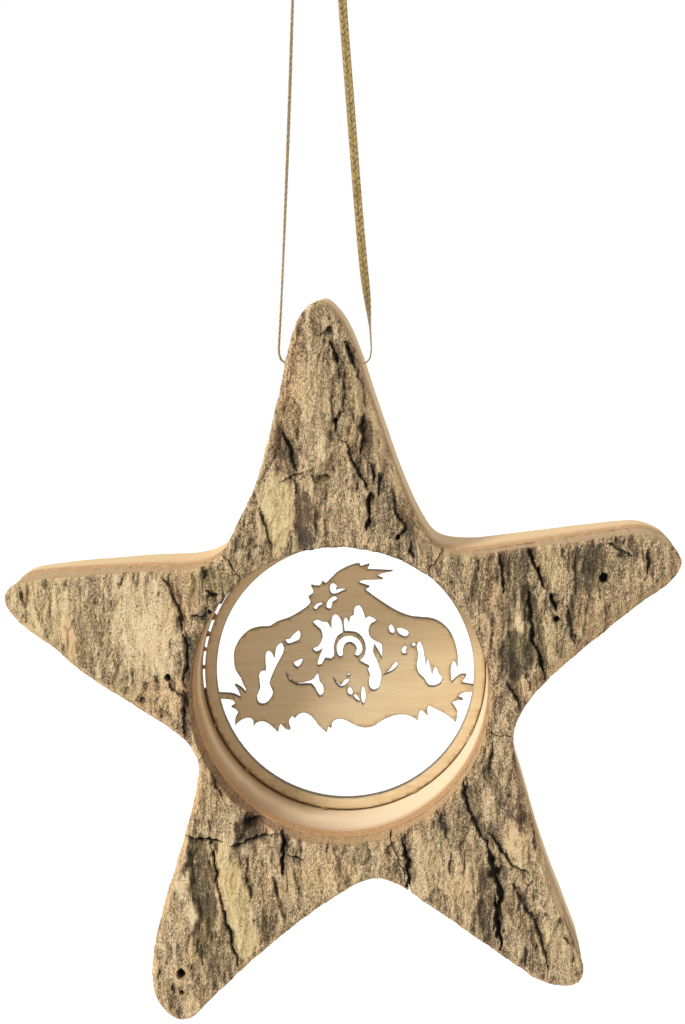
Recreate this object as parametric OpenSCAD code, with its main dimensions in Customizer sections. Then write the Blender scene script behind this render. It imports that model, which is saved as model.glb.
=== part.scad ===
// Hanging star cut from a slab of wood with its bark on, with a round window bored through it,
// a thin cut-out nativity scene set deep in the window, and a flat braided cord to hang it by.
// X runs to the right, Y from the bark face to the sawn back, Z up.
// The origin is the top of the cord's loop, where the star hangs from a twig or a hook.

/* [Slab] */
// Nominal size of the star, which its outline is drawn in shares of
star_size = 100; // [98:1:130]
// Thickness of the slab at the crown of the trunk, bark and wood together
slab_t = 20; // [17:0.5:26]
// Thickness of the rough outer bark at the crown
bark_t = 4; // [3:0.5:5]
// Thickness of the smooth inner bark
inner_bark_t = 3; // [2:0.5:4]
// Radius of the trunk where the wood meets the inner bark
trunk_r = 150; // [140:5:250]
// Radius that the weathered face of the bark follows
bark_face_r = 400; // [350:10:600]

/* [Window] */
// Diameter of the round window bored through the slab
window_d = 45; // [40:0.5:46]

/* [Scene panel] */
// Thickness of the sheet that the scene is cut from
panel_t = 1.5; // [1:0.1:3]
// Width of the rim that runs round the scene
rim_w = 1.75; // [1.2:0.05:2.5]
// Mean clearance between the sheet's edge and the window's wall
panel_gap = 0.3; // [0.2:0.05:0.5]
// How far the sheet sits to the right of the window's centre
panel_shift = 0.15; // [0:0.01:0.18]
// Length of a bead of glue along the rim
bead_w = 1; // [0.6:0.1:2]

/* [Cord] */
// Width of the flat braided cord
cord_w = 1.4; // [1:0.1:1.8]
// Thickness of the flat braided cord
cord_t = 0.45; // [0.3:0.05:0.6]
// Diameter of the hole drilled across the top arm for the cord
cord_hole_d = 2.5; // [2.4:0.1:3.5]
// Radius of each half of the knot that ties the cord's ends
knot_r = 1.5; // [1.3:0.1:2]
// Length of each loose end below the knot
tail_l = 6; // [4:0.5:8]

/* [Bark] */
// Width of the cracks that part the bark of one arm from the next
neck_crack_w = 0.8; // [0.5:0.1:1.2]
// Width of the bark's widest fissure
fissure_w = 1.6; // [1:0.1:2]
// Diameter of the beetle holes in the bark
beetle_hole_d = 1.2; // [0.8:0.1:1.6]

/* [Hidden] */

// Extra length of every cut, and the gap between the cord and the roof of its hole
overrun = 2;
cord_gap = 0.12;
// Share of the slab's thickness, from the bark face, at which the star balances on its cord
balance_share = 0.53;
// Facets of large and small round shapes, and steps between two knots of a curve
trunk_fn = 720;
round_fn = 96;
small_fn = 32;
curve_steps = 3;
scene_steps = 2;

// The cord's route, from the middle of its hole up the left strand, over the top and down the
// right strand: X, Y and Z, and the turn of the flat cord about its own run in degrees
cord_route = [
    [1, 0, -79.7, 0], [-2, 0, -79.7, 0], [-4.6, 0, -79.7, 0], [-5.2, 0, -79.5, 0], [-5.7, 0, -78.9, 0],
    [-5.9, 0, -77.7, 0], [-5.8, 0, -75.6, 0], [-5.6, 0.1, -72, 0], [-5.3, 0.2, -66, 0],
    [-4.8, 0.2, -55, -8], [-4.2, 0.1, -41, -12], [-3.7, 0, -27, -8], [-3.3, 0, -15, 0], [-2.9, 0, -6, 0],
    [-2.3, 0, -2.3, 0], [-1.2, 0, -0.5, 0], [0, 0, 0, 0], [1.2, 0, -0.5, 0], [2.2, 0, -2.3, 0],
    [2.7, 0, -6, 10], [3.1, 0, -15, 55], [3.8, 0, -27, 88], [4.9, 0.1, -41, 92], [6, 0.2, -55, 80],
    [6.9, 0.2, -66, 40], [7.5, 0.1, -72, 10], [7.9, 0, -75.6, 0], [8.1, 0, -77.7, 0],
    [7.9, 0, -78.9, 0], [7.4, 0, -79.5, 0], [6.8, 0, -79.7, 0], [4, 0, -79.7, 0]];
// The ring spacing along the cord, in widths of the cord
ring_share = 2.3;
// The place of the knot's middle on the right strand
knot_at = [3.1, 0, -15];

window_r = window_d / 2;
panel_r = window_r - panel_gap;
rim_r = panel_r - rim_w;
cord_hole_r = cord_hole_d / 2;

// Distances from the window's centre in shares of the star's size: the window's wall as the star
// was drawn, the narrowest necks and the farthest tip. A wider window or a smaller star pushes the
// necks outwards by as much as the window's wall has moved, and the tips not at all
wall_share = 0.225;
neck_share = 0.27;
tip_share = 0.6;
function on_star(p) =
    let (r = norm(p),
        pushed = (window_r / star_size - wall_share) * (tip_share - r) / (tip_share - neck_share))
    p * star_size * (1 + pushed / r);

// The flat cord lies against the roof of its round hole, which sets the hole's height
cord_rise = sqrt(pow(cord_hole_r, 2) - pow(cord_w / 2, 2)) - cord_t / 2 - cord_gap;
hole_at = [cord_route[0][0], 0, cord_route[0][2] - cord_rise];
// The hole's place from the window's centre, as a point of the star's outline is given
hole_shares = [-0.026, 0.486];
window_at = [hole_at[0] - on_star(hole_shares)[0], 0, hole_at[2] - on_star(hole_shares)[1]];

// Depths along Y: the bark face and the sawn back, and the fronts of the layers at the crown
face_y = -balance_share * slab_t;
back_y = face_y + slab_t;
inner_y = face_y + bark_t;
wood_y = inner_y + inner_bark_t;

// The star's outline, clockwise from the tip of the top arm, in shares of its size
star_shares = [
    [-0.028, 0.589], [-0.004, 0.570], [0.018, 0.532], [0.055, 0.425], [0.093, 0.319], [0.122, 0.256],
    [0.146, 0.225], [0.186, 0.216], [0.260, 0.223], [0.410, 0.242], [0.460, 0.244], [0.496, 0.228],
    [0.511, 0.202], [0.499, 0.177], [0.442, 0.134], [0.333, 0.044], [0.289, 0], [0.266, -0.042],
    [0.263, -0.080], [0.284, -0.161], [0.318, -0.274], [0.360, -0.384], [0.373, -0.424], [0.366, -0.443],
    [0.344, -0.449], [0.310, -0.441], [0.249, -0.401], [0.131, -0.316], [0.088, -0.288], [0.060, -0.279],
    [0.032, -0.286], [-0.029, -0.325], [-0.115, -0.396], [-0.196, -0.476], [-0.222, -0.501],
    [-0.243, -0.509], [-0.262, -0.501], [-0.280, -0.478], [-0.287, -0.440], [-0.277, -0.366],
    [-0.235, -0.221], [-0.217, -0.150], [-0.212, -0.110], [-0.224, -0.080], [-0.251, -0.056],
    [-0.312, -0.018], [-0.390, 0.031], [-0.430, 0.064], [-0.489, 0.107], [-0.508, 0.136],
    [-0.498, 0.159], [-0.463, 0.169], [-0.311, 0.185], [-0.208, 0.194], [-0.176, 0.214],
    [-0.154, 0.255], [-0.123, 0.321], [-0.087, 0.458], [-0.072, 0.528], [-0.054, 0.572]];

// Directions of the five narrow necks between the window and the star's inner corners, in degrees
neck_angles = [55, 129, 205, 290, 347];

// Fissures of the bark: points along each in shares of the star's size, and a share of the widest one
fissure_shares = [
    [[[-0.012, 0.527], [0.004, 0.470], [0.010, 0.415]], 0.6],
    [[[0.018, 0.500], [0.030, 0.400], [0.046, 0.290]], 0.75],
    [[[-0.080, 0.370], [-0.070, 0.335], [-0.058, 0.300]], 0.6],
    [[[-0.079, 0.332], [-0.045, 0.336], [-0.014, 0.326]], 0.3],
    [[[-0.262, 0.165], [-0.240, 0.100], [-0.232, 0.030]], 0.65],
    [[[-0.470, 0.140], [-0.462, 0.110], [-0.440, 0.085]], 0.4],
    [[[0.238, 0.200], [0.252, 0.090], [0.248, 0]], 1],
    [[[0.280, 0.215], [0.296, 0.175], [0.316, 0.130]], 0.9],
    [[[0.278, 0.130], [0.300, 0.080], [0.308, 0.045]], 0.7],
    [[[0.463, 0.220], [0.474, 0.200], [0.470, 0.176]], 0.35],
    [[[-0.215, -0.196], [-0.180, -0.190], [-0.148, -0.199]], 0.35],
    [[[-0.195, -0.225], [-0.182, -0.300], [-0.160, -0.380]], 0.65],
    [[[-0.082, -0.235], [-0.080, -0.260], [-0.074, -0.300]], 0.7],
    [[[0.190, -0.140], [0.218, -0.210], [0.236, -0.340]], 1],
    [[[0.280, -0.200], [0.302, -0.250], [0.325, -0.310]], 0.5]];
beetle_hole_shares = [[0.395, 0.178], [-0.238, -0.405], [-0.006, 0.412]];

// The scene is drawn in pixels of a square-on view: the rim's centre, and its outer radius each way
scene_centre_px = [344, 672];
scene_radius_px = [140.2, 137.8];

// The scene's outline, clockwise from the left bridge: a grassy bank, a stable roof and a comet.
// A third value of 1 makes a sharp corner, and the other points lie on a smooth curve
scene_px = [
    [211, 694, 1], [222, 694.8, 0], [231, 695.4, 0], [240, 699.5, 1], [237.5, 691.5, 0], [233.5, 685.6, 1],
    [239.5, 689, 0], [243.8, 693.6, 1], [245, 690, 0], [242.3, 685, 0], [239.5, 678, 0], [234.5, 670.5, 0],
    [233, 661, 0], [233.4, 651, 0], [236.5, 643.5, 0], [242, 636.5, 0], [250, 630.5, 0], [260, 628.2, 0],
    [268.5, 627.8, 0], [276, 623, 0], [288, 619, 0], [300, 612, 0], [307.5, 606.5, 0], [310, 602.5, 1],
    [307.8, 597.3, 1], [312, 594.3, 0], [312.6, 590.8, 0], [310.3, 586, 1], [318.5, 587, 0],
    [321.5, 582, 1], [324.5, 584.5, 0], [328.5, 581, 0], [335, 574.2, 0], [344, 568.8, 0],
    [353, 565.2, 0], [358, 564.3, 1], [359.5, 567.3, 1], [368.5, 564.8, 1], [366, 570.2, 1],
    [391.5, 571.2, 1], [380, 573.6, 0], [375.8, 576.4, 1], [382, 579.2, 1], [370, 579.8, 0],
    [360.5, 580.5, 0], [357.3, 583.3, 1], [368.5, 587, 1], [363.5, 590, 1], [372, 596.5, 0],
    [384, 604.5, 0], [397, 612, 0], [411, 616.8, 0], [428, 618, 0], [436, 620.5, 0], [444.5, 626.5, 0],
    [450.5, 634.5, 0], [454.5, 645, 0], [456.8, 657, 0], [456.5, 666.5, 1], [452.8, 659, 0],
    [450.2, 664, 0], [449.8, 673, 0], [450.8, 681.5, 1], [455, 677.5, 0], [460, 674, 0], [465.3, 674, 1],
    [462.5, 678.5, 0], [460.5, 682.2, 1], [468, 683.6, 0], [477, 684.5, 1], [477, 690, 1],
    [468, 690.2, 0], [461.5, 691.3, 0], [456, 696, 1], [462, 698.4, 1], [454.5, 699.3, 0],
    [450.3, 701.8, 1], [453.8, 706.5, 0], [456.6, 711.5, 0], [455, 720.8, 1], [450, 716.3, 0],
    [443, 711.4, 0], [433, 706.7, 0], [428.5, 704.5, 0], [426.3, 708, 0], [427, 714.6, 1],
    [422.5, 710.3, 0], [419.5, 709, 0], [418, 713, 0], [417.3, 719.5, 1], [412, 716, 0], [404, 713.5, 0],
    [393, 714.6, 0], [382, 719.3, 0], [373, 725.2, 0], [364, 727.2, 0], [354, 724.5, 0], [344, 719.3, 0],
    [336, 718.8, 0], [331.5, 722.5, 0], [330.5, 728.3, 1], [327.5, 726.5, 0], [326, 732.6, 1],
    [318, 725.5, 0], [310.5, 716, 0], [303, 712.6, 0], [297, 715, 0], [294, 718.7, 1], [291.3, 716.2, 0],
    [288, 721, 0], [287.3, 725, 0], [289, 730.3, 1], [284.5, 729.3, 0], [279.5, 724.2, 0],
    [276.8, 732.4, 1], [270, 726, 0], [263, 722, 0], [256.5, 722.6, 0], [252, 727, 1], [252, 721, 0],
    [248.5, 718.4, 0], [241, 720, 0], [233.8, 726, 1], [234, 718.5, 0], [237.4, 713.3, 1],
    [233.5, 709.3, 0], [229.8, 708, 1], [234, 705, 0], [231.5, 701, 0], [225, 699.8, 0], [211, 699.6, 1]];

// The scene's openings, in the same form
openings_px = [
    // left arch of the stable
    [[280.5, 643, 0], [283.2, 648, 0], [281.5, 655, 0], [275, 667, 0], [270, 678, 0], [268.5, 684, 0],
        [272, 692, 0], [268.5, 701, 0], [263, 705.5, 0], [257, 704.5, 0], [255.3, 698, 0], [258.6, 690, 0],
        [257.3, 678, 0], [260.5, 671.3, 0], [264.6, 671, 1], [264, 657, 0], [267, 651, 0], [271, 653, 0],
        [273.4, 658.4, 1], [275, 648.5, 0]],
    // lamp niche under the roof
    [[284, 640, 0], [289, 639, 1], [292.5, 635, 0], [298.3, 630.4, 0], [299.8, 635, 0], [297.8, 641, 1],
        [291.5, 644, 0], [286.5, 645, 0]],
    // fold of the left figure's cloak
    [[292, 664, 0], [296.5, 660.5, 0], [301.8, 658.6, 0], [300, 664.5, 0], [296.3, 668.5, 0]],
    [[285, 671.6, 1], [289.6, 679.4, 0], [297, 682.9, 0], [306.5, 681.3, 0], [313, 678.5, 0],
        [317, 673, 0], [319, 681.5, 0], [322.3, 685, 0], [322.3, 694, 0], [318.7, 697, 0], [314.3, 690, 0],
        [310, 684.8, 0], [298, 685.2, 0], [288, 680.8, 0]],
    // sky between the left figure and the halo
    [[334.5, 614, 0], [339, 617.5, 0], [341.6, 625, 0], [341.8, 633.4, 1], [336.2, 637.4, 0],
        [332.9, 645.5, 0], [333.4, 654.5, 0], [330, 659.8, 0], [324, 659, 0], [320.5, 665.5, 0],
        [316.4, 665.8, 0], [318.5, 657, 0], [321.5, 649.6, 1], [315, 653, 0], [311.4, 649, 0],
        [317.5, 646, 0], [321.5, 638.5, 0], [319.5, 630.5, 0], [311.8, 623.5, 0], [316, 619.6, 0],
        [322.5, 622, 1], [326.5, 622, 0], [330.4, 628.2, 1], [331, 618, 0]],
    // sky between the halo and the right figure
    [[343.6, 632.2, 1], [342.6, 622, 0], [345.2, 617, 0], [348.2, 622.6, 1], [350, 616, 0],
        [352.8, 615, 1], [354, 607, 0], [358.5, 605, 0], [362.5, 611.5, 0], [364.5, 618.2, 1],
        [368.5, 615.8, 0], [376, 620.6, 0], [370, 624.5, 0], [367.5, 630, 0], [370, 637, 0],
        [376, 641, 0], [381, 643.5, 0], [380.8, 657.8, 1], [377.6, 651.5, 0], [373.4, 645, 1],
        [372, 650.5, 0], [375.5, 658, 0], [378.5, 666, 0], [380.7, 673.5, 0], [379.4, 683, 0],
        [378, 688, 0], [373, 690.8, 0], [369, 688.3, 0], [367.8, 682, 0], [369, 675.5, 0], [366.5, 669, 0],
        [368.3, 666.6, 1], [362, 663.4, 0], [358.4, 660.6, 0], [362.8, 656.5, 0], [364.8, 649.5, 0],
        [362.8, 641, 0], [357.5, 634.4, 0], [350.5, 632.3, 0]],
    // crescent inside the halo
    [[338.3, 657.6, 0], [335.6, 652, 0], [336.4, 643.5, 0], [341.5, 637.3, 0], [348.7, 635.4, 0],
        [355.8, 637.6, 0], [360.8, 643.6, 0], [361.4, 650.6, 0], [357.5, 656.6, 0], [353.8, 655.5, 0],
        [355.8, 649.5, 0], [352.6, 644.4, 0], [348.6, 643, 0], [344.4, 644.6, 0], [342, 649.5, 0],
        [342, 656, 0]],
    // slats and stars of the right roof
    [[387.6, 626, 0], [390.5, 623.8, 0], [393.6, 629.5, 0], [393, 633.5, 0], [389.2, 633, 0]],
    [[396.5, 627.2, 0], [403, 628, 0], [408, 631.6, 0], [405.5, 637, 0], [399.5, 635.4, 0], [396.3, 632, 0]],
    [[413, 641.8, 0], [415, 644.4, 0], [412.6, 647.2, 0], [410.6, 644.2, 0]],
    [[404, 644.9, 0], [406.6, 648, 0], [404.6, 650.6, 0], [406.4, 653.2, 0], [402, 654, 0],
        [400.2, 649.8, 0]],
    // palm leaf by the right figure
    [[382, 674.6, 1], [388.5, 669.2, 0], [392.3, 663.5, 0], [396, 660.6, 0], [396.6, 665.5, 0],
        [391.5, 671, 0]],
    // right arch of the stable
    [[418.2, 640.2, 0], [421.6, 645.5, 0], [423.4, 655, 0], [425.2, 665.5, 1], [426.4, 657.4, 0],
        [428.6, 663, 0], [431.3, 674, 1], [433.6, 665.6, 0], [436.6, 668, 0], [438, 672.6, 0],
        [441, 675.4, 0], [440.4, 681.8, 0], [434.5, 685.6, 0], [427.3, 685, 0], [423.5, 678.8, 0],
        [417.8, 673.5, 0], [415.6, 664, 0], [417.2, 655, 0], [415.6, 646, 0]],
    // straw of the manger
    [[332.2, 676.8, 1], [337.2, 682.6, 0], [340.4, 684.6, 0], [344, 679.4, 0], [348.6, 679, 0],
        [346.4, 684.2, 0], [340.6, 687.6, 0], [335.4, 683.6, 0]],
    [[347.8, 672.4, 0], [349.4, 675, 0], [346.6, 676.8, 0]],
    [[349, 686.4, 0], [352, 690.4, 0], [350.6, 696, 0], [347, 694.6, 0], [346.7, 689.5, 0]],
    [[354.6, 693.6, 0], [358.8, 698.8, 0], [358.6, 702, 0], [354.6, 699.8, 0], [352.6, 696, 0]],
    [[362.2, 685.2, 0], [364.5, 690, 0], [364.8, 699, 0], [362.4, 704.8, 0], [360.2, 700, 0],
        [360.6, 690, 0]],
    // rays cut round the little star
    [[328.6, 588, 0], [332, 583.2, 0], [336.2, 586.2, 0], [334.8, 590, 1], [340, 588.6, 0],
        [346, 589.6, 0], [340, 592.6, 0], [334.3, 595, 0], [330.4, 594.6, 0]],
    [[334.6, 596.2, 0], [336.6, 599.8, 0], [331.4, 603.2, 0], [329.6, 609.8, 0], [325.3, 608.5, 0],
        [327.5, 600.4, 0]],
    [[312.6, 609, 0], [315.6, 604.6, 0], [320.6, 602.6, 0], [322, 605.2, 0], [318, 607, 0],
        [314.8, 610.8, 0]]];

// Directions of the beads of glue round the rim, in degrees
bead_angles = [14, 58, 96, 131, 157, 164.5, 171, 178.5, 203, 226, 262, 301, 335];

// One point of a centripetal Catmull-Rom curve between b and c, whose neighbours are a and d
function curve_at(a, b, c, d, t) =
    let (ta = 0,
        tb = ta + sqrt(max(norm(b - a), tiny)),
        tc = tb + sqrt(max(norm(c - b), tiny)),
        td = tc + sqrt(max(norm(d - c), tiny)),
        s = tb + t * (tc - tb),
        p = (a * (tb - s) + b * (s - ta)) / (tb - ta),
        q = (b * (tc - s) + c * (s - tb)) / (tc - tb),
        r = (c * (td - s) + d * (s - tc)) / (td - tc),
        u = (p * (tc - s) + q * (s - ta)) / (tc - ta),
        v = (q * (td - s) + r * (s - tb)) / (td - tb))
    (u * (tc - s) + v * (s - tb)) / (tc - tb);
tiny = 0.000001;

// A closed smooth curve through all its knots
function smooth_loop(k, steps) = [
    for (i = [0 : len(k) - 1], j = [0 : steps - 1])
        let (n = len(k))
        curve_at(k[(i + n - 1) % n], k[i], k[(i + 1) % n], k[(i + 2) % n], j / steps)];

// A closed curve whose knots carry a corner mark: a curve ends at a corner and starts afresh
function cornered_loop(k, marks, steps) = [
    for (i = [0 : len(k) - 1])
        let (n = len(k), b = k[i], c = k[(i + 1) % n],
            sharp_b = marks[i] == 1, sharp_c = marks[(i + 1) % n] == 1,
            a = sharp_b ? 2 * b - c : k[(i + n - 1) % n],
            d = sharp_c ? 2 * c - b : k[(i + 2) % n])
        for (j = [0 : (sharp_b && sharp_c ? 1 : steps) - 1])
            curve_at(a, b, c, d, j / steps)];

function heading(v) = atan2(v[1], v[0]);
function direction(a) = [cos(a), sin(a)];

// A point of the scene's drawing at its real place on the sheet
function on_sheet(p) = [(p[0] - scene_centre_px[0]) / scene_radius_px[0],
    (scene_centre_px[1] - p[1]) / scene_radius_px[1]] * panel_r;
function sheet_curve(points) = cornered_loop([for (p = points) on_sheet(p)], [for (p = points) p[2]],
    scene_steps);

// A three-point fissure as a closed outline: pointed at both ends and widest in the middle
function fissure_outline(points, width) =
    let (side = direction(heading(points[2] - points[0]) + 90) * width / 2)
    [points[0], points[1] + side, points[2], points[1] - side];

// Turns a drawing in X and Z into a solid between two depths
module slab_of(y0, y1) {
    translate([window_at[0], y1, window_at[2]])
        rotate([90, 0, 0])
            linear_extrude(y1 - y0)
                children();
}

module star_outline() {
    polygon(smooth_loop([for (p = star_shares) on_star(p)], curve_steps));
}

// The round trunk that a layer follows, with its crown at depth y
module trunk(y, r) {
    translate([window_at[0], y + r, window_at[2]])
        cylinder(h = 2 * star_size, r = r, center = true, $fn = trunk_fn);
}

module window_bore() {
    translate([window_at[0], 0, window_at[2]])
        rotate([90, 0, 0])
            cylinder(h = 2 * slab_t, r = window_r, center = true, $fn = round_fn);
}

module cord_hole() {
    translate(hole_at)
        rotate([0, 90, 0])
            cylinder(h = star_size / 2, r = cord_hole_r, center = true, $fn = small_fn);
}

module star_core() {
    color([0.94, 0.84, 0.68])
    difference() {
        intersection() {
            slab_of(face_y, back_y) star_outline();
            trunk(wood_y, trunk_r);
        }
        window_bore();
        cord_hole();
    }
}

module inner_bark() {
    color([0.82, 0.65, 0.46])
    difference() {
        intersection() {
            slab_of(face_y, back_y) star_outline();
            trunk(inner_y, trunk_r + inner_bark_t);
        }
        trunk(wood_y, trunk_r);
        window_bore();
    }
}

// The wedge of the star between two necks, which one arm's bark keeps to
module arm_wedge(i) {
    from = neck_angles[i];
    to = neck_angles[(i + 1) % len(neck_angles)] + (i + 1 == len(neck_angles) ? 360 : 0);
    polygon([[0, 0], star_size * direction(from), star_size * direction((from + to) / 2),
        star_size * direction(to)]);
}

module neck_cracks() {
    for (a = neck_angles)
        rotate(a)
            translate([0, -neck_crack_w / 2])
                square([star_size, neck_crack_w]);
}

module fissures() {
    for (f = fissure_shares)
        polygon(fissure_outline([for (p = f[0]) on_star(p)], f[1] * fissure_w));
    for (h = beetle_hole_shares)
        translate(on_star(h))
            circle(d = beetle_hole_d, $fn = small_fn);
}

module arm_bark(i) {
    color([0.55, 0.47, 0.37])
    difference() {
        intersection() {
            slab_of(face_y, back_y)
                intersection() {
                    star_outline();
                    arm_wedge(i);
                }
            trunk(face_y, bark_face_r);
        }
        trunk(inner_y, trunk_r + inner_bark_t);
        window_bore();
        slab_of(face_y - overrun, back_y + overrun) neck_cracks();
        slab_of(face_y - overrun, back_y + overrun) fissures();
    }
}

module top_bark() { arm_bark(0); }
module left_bark() { arm_bark(1); }
module lower_left_bark() { arm_bark(2); }
module lower_right_bark() { arm_bark(3); }
module right_bark() { arm_bark(4); }

module scene_panel() {
    color([0.80, 0.66, 0.46])
    slab_of(back_y - panel_t, back_y)
        translate([panel_shift, 0])
            difference() {
                circle(r = panel_r, $fn = round_fn);
                difference() {
                    circle(r = rim_r, $fn = round_fn);
                    polygon(sheet_curve(scene_px));
                }
                for (o = openings_px)
                    polygon(sheet_curve(o));
            }
}

module glue_beads() {
    color([0.78, 0.66, 0.46])
    for (a = bead_angles)
        slab_of(back_y - panel_t, back_y)
            intersection() {
                difference() {
                    circle(r = window_r, $fn = round_fn);
                    translate([panel_shift, 0]) circle(r = panel_r, $fn = round_fn);
                }
                rotate(a) translate([0, -bead_w / 2]) square([window_d, bead_w]);
            }
}

// Points along the cord, closer together where its knots are close
cord_count = len(cord_route);
function cord_knot_at(i) = cord_route[(i + cord_count) % cord_count];
cord_stations = [
    for (i = [0 : cord_count - 1])
        let (b = cord_knot_at(i), c = cord_knot_at(i + 1),
            reach = norm([for (k = [0 : 2]) c[k] - b[k]]),
            steps = max(1, round(reach / (ring_share * cord_w))))
        for (j = [0 : steps - 1])
            curve_at(cord_knot_at(i - 1), b, c, cord_knot_at(i + 2), j / steps)];

// The flat section of the cord, as a round-ended band with eight corners
function band(w, t) = [for (k = [0 : 7]) let (a = 22.5 + 45 * k) [w / 2 * cos(a) / cos(22.5),
    t / 2 * sin(a) / sin(67.5)]];

function cord_ring(i) =
    let (n = len(cord_stations), s = cord_stations[i],
        e = cord_stations[(i + 1) % n] - cord_stations[(i + n - 1) % n],
        run = [e[0], e[1], e[2]] / norm([e[0], e[1], e[2]]),
        across = [0, 1, 0] - run * run[1],
        wide = across / norm(across),
        flat = cross(run, wide),
        turn = s[3])
    [for (p = band(cord_w, cord_t))
        [s[0], s[1], s[2]] + wide * (p[0] * cos(turn) - p[1] * sin(turn))
            + flat * (p[0] * sin(turn) + p[1] * cos(turn))];

module hanging_cord() {
    n = len(cord_stations);
    m = len(band(cord_w, cord_t));
    color([0.78, 0.63, 0.30])
    polyhedron(
        points = [for (i = [0 : n - 1]) each cord_ring(i)],
        faces = [for (i = [0 : n - 1], k = [0 : m - 1])
            let (a = i * m, b = ((i + 1) % n) * m, l = (k + 1) % m)
            each [[a + k, b + k, b + l], [a + k, b + l, a + l]]]);
}

// One loose end of the cord below the knot, curving outwards
module cord_tail(side) {
    translate([0, cord_w / 2, 0])
        rotate([90, 0, 0])
            linear_extrude(cord_w)
                polygon([[-cord_t / 2, 0], [cord_t / 2, 0],
                    [side * tail_l / 4 + cord_t / 2, -tail_l / 2], [side * tail_l / 3 + cord_t / 2, -tail_l],
                    [side * tail_l / 3 - cord_t / 2, -tail_l], [side * tail_l / 4 - cord_t / 2, -tail_l / 2]]);
}

module cord_knot() {
    color([0.74, 0.58, 0.27])
    translate(knot_at) {
        for (end = [-1, 1])
            translate([0, 0, end * knot_r / 2]) sphere(r = knot_r, $fn = small_fn);
        translate([knot_r / 2, 0, -knot_r / 2]) cord_tail(1);
        translate([-knot_r / 2, 0, -knot_r / 2]) cord_tail(-1);
    }
}

star_core();
inner_bark();
top_bark();
left_bark();
lower_left_bark();
lower_right_bark();
right_bark();
scene_panel();
glue_beads();
hanging_cord();
cord_knot();
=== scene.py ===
"""A hanging star cut from a slab of wood with its bark on, dressed piece by piece.

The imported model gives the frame, the outline and the depths. Every surface is worked out in
millimetres about the window's centre, X to the right and Z up, and goes into its mesh in metres.
"""

import math

import bmesh
import bpy
import numpy as np
from bpy.props import FloatProperty, FloatVectorProperty, PointerProperty
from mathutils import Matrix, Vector


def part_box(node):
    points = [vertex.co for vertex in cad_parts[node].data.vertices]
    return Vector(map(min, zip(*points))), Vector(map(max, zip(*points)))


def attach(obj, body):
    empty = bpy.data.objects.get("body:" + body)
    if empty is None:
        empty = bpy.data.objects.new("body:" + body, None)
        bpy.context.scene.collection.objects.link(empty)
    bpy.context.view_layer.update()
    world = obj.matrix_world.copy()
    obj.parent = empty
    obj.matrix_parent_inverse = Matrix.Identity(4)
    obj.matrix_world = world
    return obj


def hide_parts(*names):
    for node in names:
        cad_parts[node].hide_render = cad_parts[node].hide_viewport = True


bl_info = {
    "name": "Hanging wooden star",
    "version": (1, 0, 0),
    "blender": (4, 5, 0),
    "location": "3D View > Sidebar > Wooden star",
    "description": "Dresses a bark-covered wooden star with a cut-out scene and a gold cord",
    "category": "Add Mesh",
}

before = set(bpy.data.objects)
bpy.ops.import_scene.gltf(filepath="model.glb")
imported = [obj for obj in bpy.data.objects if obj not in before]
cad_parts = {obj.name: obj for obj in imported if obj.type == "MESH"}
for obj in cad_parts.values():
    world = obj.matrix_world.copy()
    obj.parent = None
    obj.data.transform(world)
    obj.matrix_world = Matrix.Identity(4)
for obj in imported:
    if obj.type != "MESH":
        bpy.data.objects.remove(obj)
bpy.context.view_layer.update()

# Millimetres in a metre, and a whole turn
MM = 1000.0
TURN = 2 * math.pi


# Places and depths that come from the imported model, in millimetres

def node_box(node):
    """Lowest and highest corner of a CAD node in millimetres."""
    low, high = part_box(node)
    return np.array(low) * MM, np.array(high) * MM


ARMS = ("top", "left", "lower_left", "lower_right", "right")
# The window's radius, and how far right of its centre the sheet sits
WINDOW_R = 22.5
PANEL_SHIFT = 0.15
panel_low, panel_high = node_box("scene_panel")
WINDOW_X = (panel_low[0] + panel_high[0]) / 2 - PANEL_SHIFT
WINDOW_Z = (panel_low[2] + panel_high[2]) / 2
PANEL_R = (panel_high[2] - panel_low[2]) / 2
PANEL_FRONT = panel_low[1]
BACK_Y = node_box("star_core")[1][1]
# Crown depth and radius of the trunk's layers: outer bark, inner bark and wood
BARK_CROWN = min(node_box(arm + "_bark")[0][1] for arm in ARMS)
INNER_CROWN = node_box("inner_bark")[0][1]
WOOD_CROWN = node_box("star_core")[0][1]
BARK_TRUNK_R = 400.0
INNER_TRUNK_R = 153.0
WOOD_TRUNK_R = 150.0
# Directions of the cracks across the five necks, from the top arm's right one round to the right
NECK_ANGLES = (55, 129, 205, 290, 347)

# The cord's route from the middle of its hole up the left strand, over the loop's top and down the
# right strand: X, Y, Z and the turn of the flat cord about its own run, in millimetres and degrees
CORD_ROUTE = (
    (1, 0, -79.7, 0), (-2, 0, -79.7, 0), (-4.6, 0, -79.7, 0), (-5.2, 0, -79.5, 0),
    (-5.7, 0, -78.9, 0), (-5.9, 0, -77.7, 0), (-5.8, 0, -75.6, 0), (-5.6, 0.1, -72, 0),
    (-5.3, 0.2, -66, 0), (-4.8, 0.2, -55, -8), (-4.2, 0.1, -41, -12), (-3.7, 0, -27, -8),
    (-3.3, 0, -15, 0), (-2.9, 0, -6, 0), (-2.3, 0, -2.3, 0), (-1.2, 0, -0.5, 0),
    (0, 0, 0, 0), (1.2, 0, -0.5, 0), (2.2, 0, -2.3, 0), (2.7, 0, -6, 10),
    (3.1, 0, -15, 55), (3.8, 0, -27, 88), (4.9, 0.1, -41, 92), (6, 0.2, -55, 90),
    (6.9, 0.2, -65, 84), (7.5, 0.1, -70, 50), (7.9, 0, -74, 10), (8.1, 0, -77.4, 0),
    (7.9, 0, -78.9, 0), (7.4, 0, -79.5, 0), (6.8, 0, -79.7, 0), (4, 0, -79.7, 0),
)
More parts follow.
